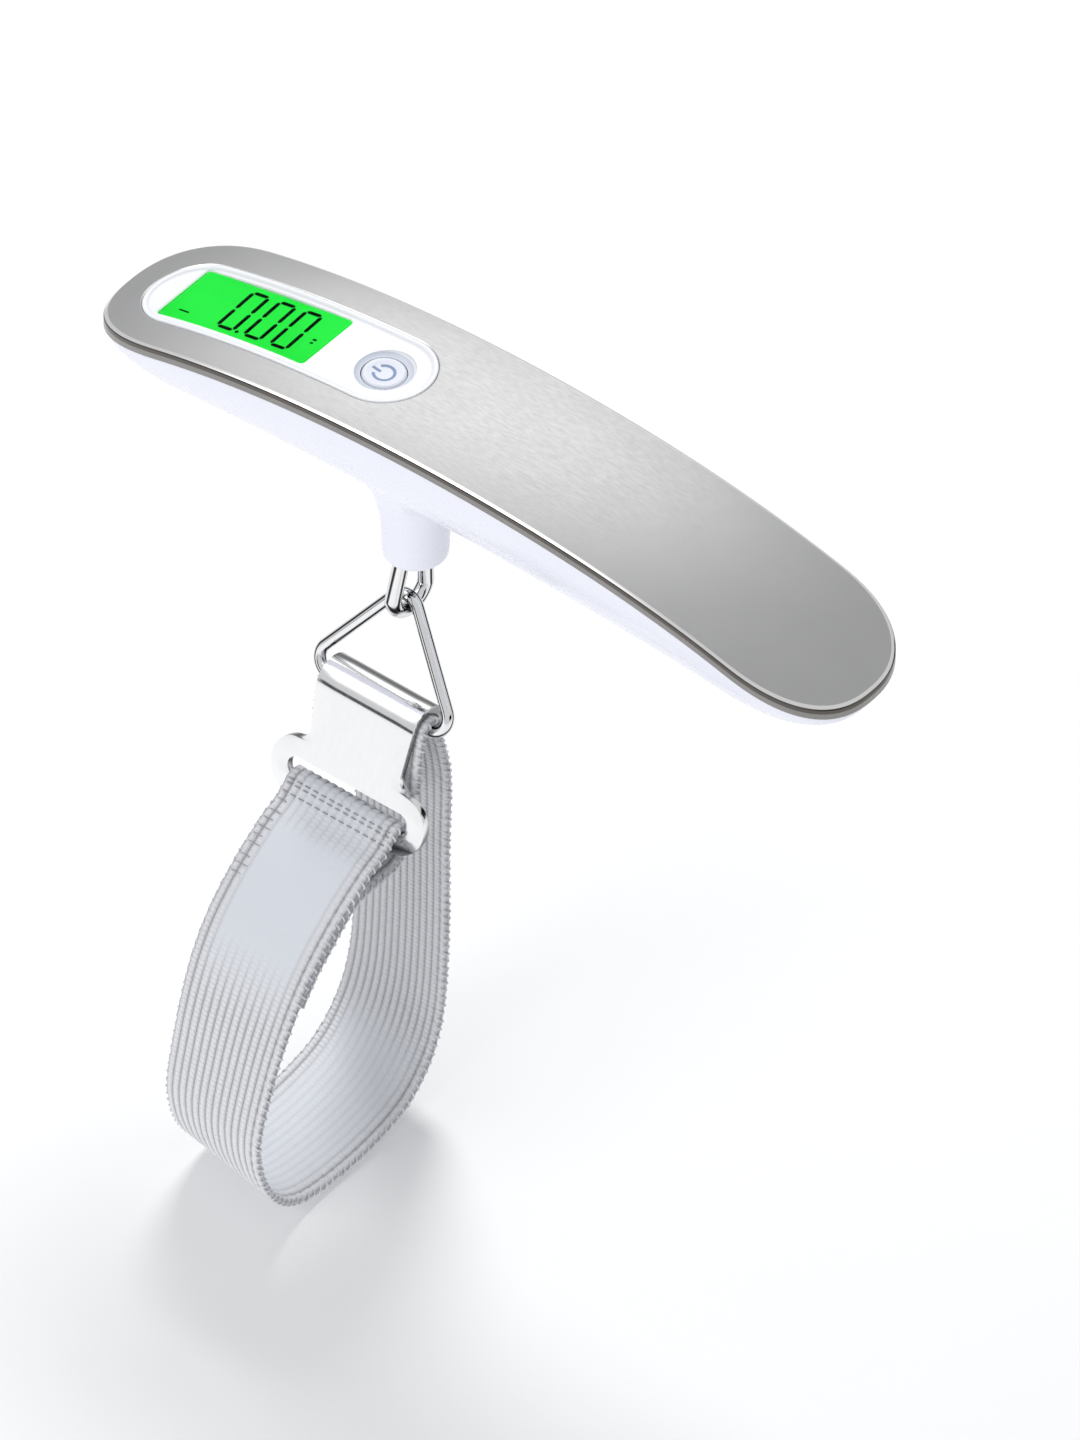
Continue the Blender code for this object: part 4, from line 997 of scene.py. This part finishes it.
def make_eye():
    top_centre = PIN_RADIUS + GAP + EYE_WIRE - EYE_TOP_LOOP
    lean = math.asin((EYE_LOOP - EYE_TOP_LOOP) / (top_centre + EYE_DROP))
    lower = along_turn(EYE_LOOP, math.pi + lean, math.pi - 2 * lean, 48)
    upper = along_turn(EYE_TOP_LOOP, -lean, math.pi + 2 * lean, 48)
    outline = [(y, z - EYE_DROP) for y, z in lower] + [(y, top_centre + z) for y, z in upper]
    c, s = math.cos(EYE_LEAN), math.sin(EYE_LEAN)
    points = [(0.0, y * c + z * s, PIN_Z + z * c - y * s) for y, z in outline]
    eye = wire("eye_wire", points, EYE_WIRE, CHROME, 10)
    place_piece(eye, "eye", "chrome_wire", "eye_link")


def down_ring():
    return Vector((-math.sin(RING_LEAN), -math.cos(RING_LEAN)))


def ring_apex():
    return eye_centre() + (EYE_LOOP - EYE_WIRE - RING_WIRE - GAP) * down_ring()


def ring_height():
    half_angle = math.atan(RING_HALF_BASE / RING_SIDE_HEIGHT)
    return RING_SIDE_HEIGHT - (RING_APEX_BEND / math.sin(half_angle) - RING_APEX_BEND)


def bar_axis():
    return ring_apex() + ring_height() * down_ring()


def rounded_corner(before, corner, after, bend, steps):
    """An arc that rounds the corner off, as points."""
    to_before = (before - corner).normalized()
    to_after = (after - corner).normalized()
    half = to_before.angle(to_after) / 2
    centre = corner + (to_before + to_after).normalized() * (bend / math.sin(half))
    start = corner + to_before * (bend / math.tan(half)) - centre
    end = corner + to_after * (bend / math.tan(half)) - centre
    turn = start.angle(end)
    arc = []
    for i in range(steps + 1):
        share = i / steps
        mix = math.sin((1 - share) * turn) * start + math.sin(share * turn) * end
        arc.append(centre + mix / math.sin(turn))
    return arc


def make_ring():
    height = ring_height()
    apex = Vector((0, height - RING_SIDE_HEIGHT))
    right, left = Vector((RING_HALF_BASE, height)), Vector((-RING_HALF_BASE, height))
    outline = rounded_corner(left, apex, right, RING_APEX_BEND, 28)
    outline += rounded_corner(apex, right, left, RING_CORNER_BEND, 24)
    outline += rounded_corner(right, left, apex, RING_CORNER_BEND, 24)
    origin, down = ring_apex(), down_ring()
    points = [(p.x, origin.x + down.x * p.y, origin.y + down.y * p.y) for p in outline]
    ring = wire("ring_wire", points, RING_WIRE_SEEN, CHROME, 9)
    place_piece(ring, "ring", "chrome_wire", "triangle_ring")


def hook_stations(curl_steps=44, blade_steps=5, fillet_steps=12, ear_steps=56):
    """(centre, outward normal, half width) along the hook plate, from the curl's end to the ear's foot."""
    down, front = hook_directions()
    bar = bar_axis()
    middle = HOOK_CURL_INNER + HOOK_SHEET / 2
    stations = []
    for i in range(curl_steps):
        angle = HOOK_CURL_TURN * (1 - i / curl_steps)
        normal = front * math.cos(angle) - down * math.sin(angle)
        stations.append((bar + normal * middle, normal, HOOK_HEAD_WIDTH / 2))
    fillet_from, fillet_to = fillet_place()
    drops = [fillet_from * k / blade_steps for k in range(blade_steps)]
    drops += [fillet_from + (fillet_to - fillet_from) * k / fillet_steps for k in range(fillet_steps)]
    ear_radius = HOOK_EAR_HEIGHT / 2
    first = math.acos((HOOK_SLOT_AT - fillet_to) / ear_radius)
    last = math.pi - 0.03
    angles = [first + (last - first) * i / ear_steps for i in range(ear_steps + 1)]
    drops += [HOOK_SLOT_AT - ear_radius * math.cos(angle) for angle in angles]
    return stations + [(bar + front * middle + down * v, front, hook_half_width(v)) for v in drops]


def hook_directions():
    down = Vector((-math.sin(HOOK_LEAN), -math.cos(HOOK_LEAN)))
    front = Vector((-math.cos(HOOK_LEAN), math.sin(HOOK_LEAN)))
    return down, front


def fillet_place():
    """How far down the fillet's centre is, and how far down it meets the ear's round end."""
    ear_radius = HOOK_EAR_HEIGHT / 2
    across = HOOK_WAIST_WIDTH / 2 + HOOK_FILLET - HOOK_EAR_WIDTH / 2 + ear_radius
    drop = math.sqrt((ear_radius + HOOK_FILLET) ** 2 - across**2)
    centre = HOOK_SLOT_AT - drop
    return centre, centre + drop * HOOK_FILLET / (ear_radius + HOOK_FILLET)


def hook_half_width(v):
    """Half width of the hook plate at v down from the bar's axis, with a fillet between waist and ear."""
    ear_radius = HOOK_EAR_HEIGHT / 2
    head, waist, ear = HOOK_HEAD_WIDTH / 2, HOOK_WAIST_WIDTH / 2, HOOK_EAR_WIDTH / 2
    centre, meets = fillet_place()
    if v >= meets:
        return ear - ear_radius + math.sqrt(max(0.0, ear_radius**2 - (v - HOOK_SLOT_AT) ** 2))
    if v >= centre:
        return waist + HOOK_FILLET - math.sqrt(HOOK_FILLET**2 - (v - centre) ** 2)
    return waist + (head - waist) * max(0.0, 1 - v / centre)


def make_clasp(columns=6):
    """Hook plate: a sheet that curls round the triangle's bar, with a slot between its ears."""
    shares = [2 * k / columns - 1 for k in range(columns + 1)]
    stations = hook_stations()
    points, faces = [], []
    for centre, normal, half in stations:
        outer, inner = centre + normal * (HOOK_SHEET / 2), centre - normal * (HOOK_SHEET / 2)
        points += [(half * share, outer.x, outer.y) for share in shares]
        points += [(half * share, inner.x, inner.y) for share in reversed(shares)]
    skin(faces, len(stations), 2 * len(shares))
    plate = solid("clasp_plate", points, faces, POLISHED)
    down, front = hook_directions()
    slot_centre = bar_axis() + front * (HOOK_CURL_INNER + HOOK_SHEET / 2) + down * HOOK_SLOT_AT
    long, wide = HOOK_SLOT_SIZE
    rings = []
    for side in (-4.0, 4.0):
        flat_ring = slot_ring(-long / 2, long / 2, wide, flat(0.0), bend_steps=8, steps=10)
        places = [(x, slot_centre + down * v + front * side) for x, v, _ in flat_ring]
        rings.append([(x, p.x, p.y) for x, p in places])
    carve(plate, [loft("clasp_slot", rings, POLISHED)])
    round_edges(plate, 0.2, 3, 50.0)
    place_piece(plate, "loop", "polished_steel", "hook_plate")


# ---------------------------------------------------------------- webbing


def strap_twist(y, z):
    start, end = STRAP_TWIST_BACK if y > STRAP_BACK_Y and z < STRAP_TWIST_BACK[0] else STRAP_TWIST_FRONT
    return STRAP_TWIST * fade(start - z, 0.0, start - end)


def strap_route(steps=8):
    """The webbing's centre line from its sewn end in the sleeve to its sewn end behind the front run,
    and the length along it at which it reaches the hook plate's foot."""
    down, front = hook_directions()
    bar = bar_axis()
    layer = RING_WIRE + GAP + STRAP_THICKNESS / 2
    points = [bar + front * (layer - 1.4) + down * STRAP_FOLD, bar + front * (layer - 0.2) + down * 5.0]
    points += [bar + front * c - down * s for c, s in along_turn(layer, 0.0, math.pi, 8)]
    points += [bar + Vector((layer, -1.2)), bar + Vector((layer + 0.4, -3.6))]
    points += [Vector(p) for p in STRAP_LOOP]
    foot_index = len(points) * steps
    clear = HOOK_SHEET / 2 + GAP + STRAP_THICKNESS / 2
    over = bar + front * (HOOK_CURL_INNER + HOOK_SHEET / 2) + down * (HOOK_SLOT_AT + HOOK_SLOT_SIZE[1] / 2)
    points += [over + front * c - down * FOOT_FLATNESS * s for c, s in along_turn(clear, 0.0, math.pi, 6)]
    points += [Vector(p) for p in STRAP_TAIL]
    line = smooth_chain(points, steps)
    return line, sum((b - a).length for a, b in zip(line[:foot_index], line[1 : foot_index + 1]))


def strap_half(at):
    """Half the webbing's width, a little less in the sleeve."""
    return STRAP_WIDTH / 2 - SLEEVE_INSET * (1 - fade(at, *SLEEVE_END))


def pressed_flat(face, share, before_foot, z):
    """How flat the ribs are pressed: where the webbing is doubled in front, and inside the bottom bend."""
    press = 0.0
    if face == 1 and before_foot > -2:
        press = 1 - fade(before_foot, 26.0, 42.0)
        press *= 0.75 + 0.25 * fade(before_foot, 5.5, 9.0)
    elif face == -1 and z < STRAP_BOTTOM_Z:
        press = 0.8 * fade(STRAP_BOTTOM_Z - z, 0.0, 9.0)
    return press * (1 - fade(abs(share), 0.62, 0.88))


def webbing_row(here, at, foot_at):
    """One ring of the webbing's surface: each point with its groove, press and pick marks."""
    half = strap_half(at)
    across = STRAP_RIBS * STEPS_PER_RIB
    ripple = math.sin(at * 2.7)
    row = []
    for face in (1, -1):
        for k in range(across + 1):
            share = k / across * 2 - 1
            u = share * half * face
            rib = k // STEPS_PER_RIB
            groove = 1 - abs(math.sin(math.pi * k / STEPS_PER_RIB)) ** 0.6
            press = pressed_flat(face, share, foot_at - at, here[0].y)
            edge = fade(abs(share), 0.93, 1.0)
            wobble = 0.06 * noise.noise(Vector((u * 0.9, at * 1.3, face * 5.0))) + edge * 0.14 * ripple
            if u > 0.8 * half:
                wobble += 0.13 * math.sin(at * 2.9 + 2.5 * rib)
            w = STRAP_THICKNESS / 2 - 0.16 * edge - RIB_DEPTH * groove * (1 - press) + wobble
            # the first mark paints shade into the grooves, less where the ribs are pressed flat
            marks = (min(1.0, groove * 1.05) * (1 - press), press, at * PICK_TURN + math.pi * rib)
            row.append((strap_point(here, u, face * w), marks))
        bulge = 0.2 + 0.08 * math.sin(at * 2.7 + 1.0) + 0.12 * noise.noise(Vector((at * 0.7, face * 9.0, 0)))
        row.append((strap_point(here, face * (half + bulge), 0.0), (0.15, 0.0, at * PICK_TURN)))
    return row


def evenly(points, step):
    """The same line with points a step apart, and each one's distance along it."""
    found, reach, total = [points[0]], [0.0], 0.0
    wanted = step
    for a, b in zip(points, points[1:]):
        length = (b - a).length
        while length > 0 and wanted <= total + length:
            found.append(a.lerp(b, (wanted - total) / length))
            reach.append(wanted)
            wanted += step
        total += length
    return found, reach, total


def fade(value, low, high):
    t = min(max((value - low) / (high - low), 0.0), 1.0)
    return t * t * (3 - 2 * t)


def strap_frame(route, index):
    """(point, outward normal, turn) of the webbing at a point of its route."""
    point = route[index]
    along = (route[min(index + 1, len(route) - 1)] - route[max(index - 1, 0)]).normalized()
    return point, Vector((-along.y, along.x)), strap_twist(point.x, point.y)


def strap_point(here, u, w):
    """The place u across the webbing and w out of its middle."""
    point, normal, turn = here
    place = point + normal * w
    return (u * math.cos(turn), place.x - u * math.sin(turn), place.y)


def make_webbing():
    raw, foot_at = strap_route()
    route, reach, total = evenly(raw, STRAP_STEP)
    rows = [webbing_row(strap_frame(route, index), at, foot_at) for index, at in enumerate(reach)]
    points = [point for row in rows for point, _ in row]
    marks = [mark for row in rows for _, mark in row]
    faces = []
    skin(faces, len(rows), len(rows[0]))
    webbing = solid("webbing_loop", points, faces, WEBBING, 80.0)
    for name, values in zip(WEBBING_MARKS, zip(*marks)):
        webbing.data.attributes.new(name, "FLOAT", "POINT").data.foreach_set("value", values)
    place_piece(webbing, "loop", "webbing", "strap")
    sewing = [make_stitches(route, reach, foot_at), make_selvages(route, reach)]


def shifted(here, along):
    """The same place, moved along the webbing."""
    point, normal, turn = here
    return point + Vector((normal.y, -normal.x)) * along, normal, turn


def overcast(points, faces, route, reach, side):
    """The looped thread of a selvage, wound round the webbing's edge from one end to the other."""
    turn_steps, sides, pitch, thread = 10, 5, 1.6, 0.22
    step = reach[1] - reach[0]
    base = len(points)
    count = int((reach[-1] - 2.0) / pitch) * turn_steps
    for i in range(count + 1):
        at = 1.0 + i * pitch / turn_steps
        angle = 2 * math.pi * i / turn_steps
        index = min(int(at / step), len(route) - 2)
        _, normal, turn = strap_frame(route, index)
        here = (route[index].lerp(route[index + 1], (at - reach[index]) / step), normal, turn)
        loose = 1 + 0.6 * noise.noise(Vector((at * 0.8, side * 3.0, 0)))
        u = strap_half(at) - 0.3 + (0.48 if side > 0 else 0.34) * loose * math.cos(angle)
        w = (STRAP_THICKNESS / 2 - 0.06) * math.sin(angle)
        for n in range(sides):
            around = 2 * math.pi * n / sides
            out = thread * math.cos(around)
            place = shifted(here, thread * math.sin(around))
            grow = 1 + out / (STRAP_THICKNESS / 2)
            points.append(strap_point(place, side * (u + out * math.cos(angle)), w * grow))
    skin(faces, count + 1, sides, base)


def stitch(points, faces, route, reach, at, u, length, radius):
    """A thread on the front of the webbing, from u across it, that dives in at both ends."""
    base = len(points)
    stations = (0.0, 0.15, 0.5, 0.85, 1.0)
    index = min(range(len(reach)), key=lambda i: abs(reach[i] - at))
    here = strap_frame(route, index)
    for t in stations:
        outside = 0 < t < 1
        lift = STRAP_THICKNESS / 2 + (0.1 if outside else -0.14)
        size = radius if outside else radius * 0.6
        for n in range(THREAD_SIDES):
            angle = 2 * math.pi * n / THREAD_SIDES
            place = shifted(here, size * math.cos(angle))
            points.append(strap_point(place, u + length * t, lift + size * math.sin(angle)))
    skin(faces, len(stations), THREAD_SIDES, base)


def make_stitches(route, reach, foot_at):
    """Sewing: three rows across the front under the slot, a ladder of short ones down its left edge, and
    two rows on the back run where the sleeve is closed."""
    points, faces = [], []
    places = [(foot_at + 0.2 - 1.2 * row, -11.2 + 1.74 * k, 1.3, 0.12) for row in range(3) for k in range(13)]
    places += [(foot_at - 4.2 - 1.75 * k, -11.3, 2.3 + 0.5 * (k % 2), 0.08) for k in range(9)]
    places += [(32.0 + 2.2 * row, -9.8 + 2.2 * k, 1.6, 0.17) for row in range(2) for k in range(9)]
    for at, u, length, radius in places:
        stitch(points, faces, route, reach, at, u, length, radius)
    stitches = solid("stitches", points, faces, SEAM_THREAD, 60.0)
    place_piece(stitches, "loop", "webbing")
    return stitches


def make_selvages(route, reach):
    points, faces = [], []
    for side in (1, -1):
        overcast(points, faces, route, reach, side)
    selvages = solid("selvages", points, faces, THREAD, 60.0)
    place_piece(selvages, "loop", "webbing")
    return selvages


# ---------------------------------------------------------------- inner pieces


def dress_inner_pieces():
    for look, names in INNER_LOOKS:
        for name in names:
            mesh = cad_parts[name].data
            mesh.materials.clear()
            mesh.materials.append(look)


def make_coin_cell():
    """The cell's can, with its rolled edge and the gasket line."""
    low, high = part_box("coin_cell")
    bottom, top, radius = low[2] / MM, high[2] / MM, 10.0
    profile = (
        (0, bottom), (8.2, bottom), (8.5, bottom + 0.12), (8.7, bottom + 0.35),
        (9.1, bottom + 0.42), (9.6, bottom + 0.45), (9.9, bottom + 0.6), (radius, bottom + 0.85),
        (radius, top - 0.35), (9.92, top - 0.12), (9.7, top), (0, top),
    )
    can = surface("cell_can", (0.74, 0.74, 0.72), 0.2, 1.0, 700.0, (0.2, 1, 1), 0.04, 0.05)
    cell = turned("cell_can", profile, 96, can, (BATTERY_X, 0, 0))
    place_piece(cell, "cell", "cell_case", "coin_cell")


# ---------------------------------------------------------------- floor, light and camera


def aim(made, direction, distance):
    """Puts a light or a card in a direction from the object, and turns it there."""
    toward = Vector(direction).normalized()
    made.location = Vector(VIEW_TARGET) * MM + toward * distance
    made.rotation_mode = "QUATERNION"
    made.rotation_quaternion = toward.to_track_quat("Z", "Y")


def sheet_mesh(name, width, length, look):
    x, y = width / 2, length / 2
    mesh = bpy.data.meshes.new(name)
    mesh.from_pydata([(-x, -y, 0), (x, -y, 0), (x, y, 0), (-x, y, 0)], [], [(0, 1, 2, 3)])
    mesh.materials.append(look)
    return mesh


def card(name, direction, distance, size, strength):
    """A lit or black card that faces the object and shows only in its reflections."""
    look = bpy.data.materials.new(name)
    look.use_nodes = True
    look.cycles.emission_sampling = "NONE"
    tree = look.node_tree
    tree.nodes.remove(tree.nodes["Principled BSDF"])
    light = add(tree, "Emission", {"Color": (1.0, 1.0, 1.0, 1.0), "Strength": strength})["Emission"]
    feed(tree, tree.nodes["Material Output"], {"Surface": light})
    made = new_object(name, sheet_mesh(name, *size, look))
    aim(made, direction, distance)
    made.visible_camera = False
    made.visible_shadow = False
    made.visible_diffuse = False
    made.visible_transmission = False
    return tree, light


def glow(name, direction, distance, radius, strength):
    """A round glow that fades to nothing at its rim and adds to what is behind it in reflections."""
    tree, light = card(name, direction, distance, (2 * radius, 2 * radius), strength)
    place = add(tree, "TexCoord")["Object"]
    from_middle = add(tree, "VectorMath", {0: place}, operation="LENGTH")["Value"]
    values = {"Value": from_middle, "From Max": radius, "To Min": strength, "To Max": 0.0}
    fall = add(tree, "MapRange", values, interpolation_type="SMOOTHERSTEP")["Result"]
    feed(tree, light.node, {"Strength": fall})
    clear = add(tree, "BsdfTransparent")["BSDF"]
    both = add(tree, "AddShader", {0: light, 1: clear})["Shader"]
    feed(tree, tree.nodes["Material Output"], {"Surface": both})


def soft_light(name, direction, distance, size, power):
    """A round light that doesn't show in reflections."""
    data = bpy.data.lights.new(name, "AREA")
    data.shape = "DISK"
    data.size = size
    data.energy = power
    made = new_object(name, data)
    aim(made, direction, distance)
    made.visible_glossy = False


def see_through_from_below(look):
    """Clears the material on its back faces, so that the floor doesn't hide the underside."""
    tree = look.node_tree
    behind = add(tree, "NewGeometry")["Backfacing"]
    clear = add(tree, "BsdfTransparent")["BSDF"]
    front = tree.nodes["Principled BSDF"].outputs["BSDF"]
    mix = add(tree, "MixShader", {"Fac": behind, 1: front, 2: clear})["Shader"]
    feed(tree, tree.nodes["Material Output"], {"Surface": mix})


def make_floor():
    look = surface("floor_white", (0.93, 0.93, 0.93), 0.6, scale=20.0, vary=0.002, bump=0.0)
    see_through_from_below(look)
    floor = new_object("floor", sheet_mesh("floor", FLOOR_SIDE, FLOOR_SIDE, look))
    floor.location = (0, 0, min(cad_box[0][2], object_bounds()[0][2]) - FLOOR_GAP)
    floor.visible_diffuse = False
    floor.visible_shadow = False


def make_stage():
    make_floor()
    world = bpy.data.worlds.new("studio")
    bpy.context.scene.world = world
    world.use_nodes = True
    sky = world.node_tree.nodes["Background"]
    feed(world.node_tree, sky, {"Color": (0.97, 0.98, 1.0, 1.0), "Strength": 0.64})
    soft_light("key", (-0.4, 0.5, 0.85), 0.9, 0.3, 4.4)
    soft_light("fill", (-0.2, -0.9, 0.5), 1.1, 0.8, 2.8)
    soft_light("under", (0.25, -0.7, -0.65), 1.0, 0.9, 3.2)
    glow("glow", (-0.5, 0.57, 0.65), 0.8, 0.44, 1.25)
    glow("front_glow", (-0.46, -0.55, 0.7), 0.8, 0.3, 0.7)
    glow("edge_glow", (-0.5, -0.18, 0.82), 0.8, 0.4, 2.1)
    card("dark_front", (-0.47, -0.88, 0.03), 0.7, (0.4, 0.16), 0.07)
    card("dark_right", (1.0, -0.1, 0.12), 0.7, (0.5, 0.22), 0.0)
    card("dark_back", (0.5, 0.9, 0.1), 0.8, (0.35, 0.3), 0.0)


def make_camera():
    a, e = VIEW_AZIMUTH, VIEW_ELEVATION
    right = Vector((math.cos(a), math.sin(a), 0))
    back = Vector((math.sin(a) * math.cos(e), -math.cos(a) * math.cos(e), math.sin(e)))
    data = bpy.data.cameras.new("camera")
    data.lens = VIEW_LENS
    data.sensor_width = 36.0
    data.clip_end = 40.0
    camera = new_object("camera", data)
    turn = Matrix((right, back.cross(right), back)).transposed().to_4x4()
    camera.matrix_world = Matrix.Translation((Vector(VIEW_TARGET) + back * VIEW_DISTANCE) * MM) @ turn
    bpy.context.scene.camera = camera
    bpy.context.scene.view_settings.view_transform = "Standard"


make_camera()
make_plate()
make_cover()
make_shell()
make_door()
make_case_screws()
make_display()
make_button()
make_eye()
make_ring()
make_clasp()
make_webbing()
make_coin_cell()
dress_inner_pieces()
make_stage()
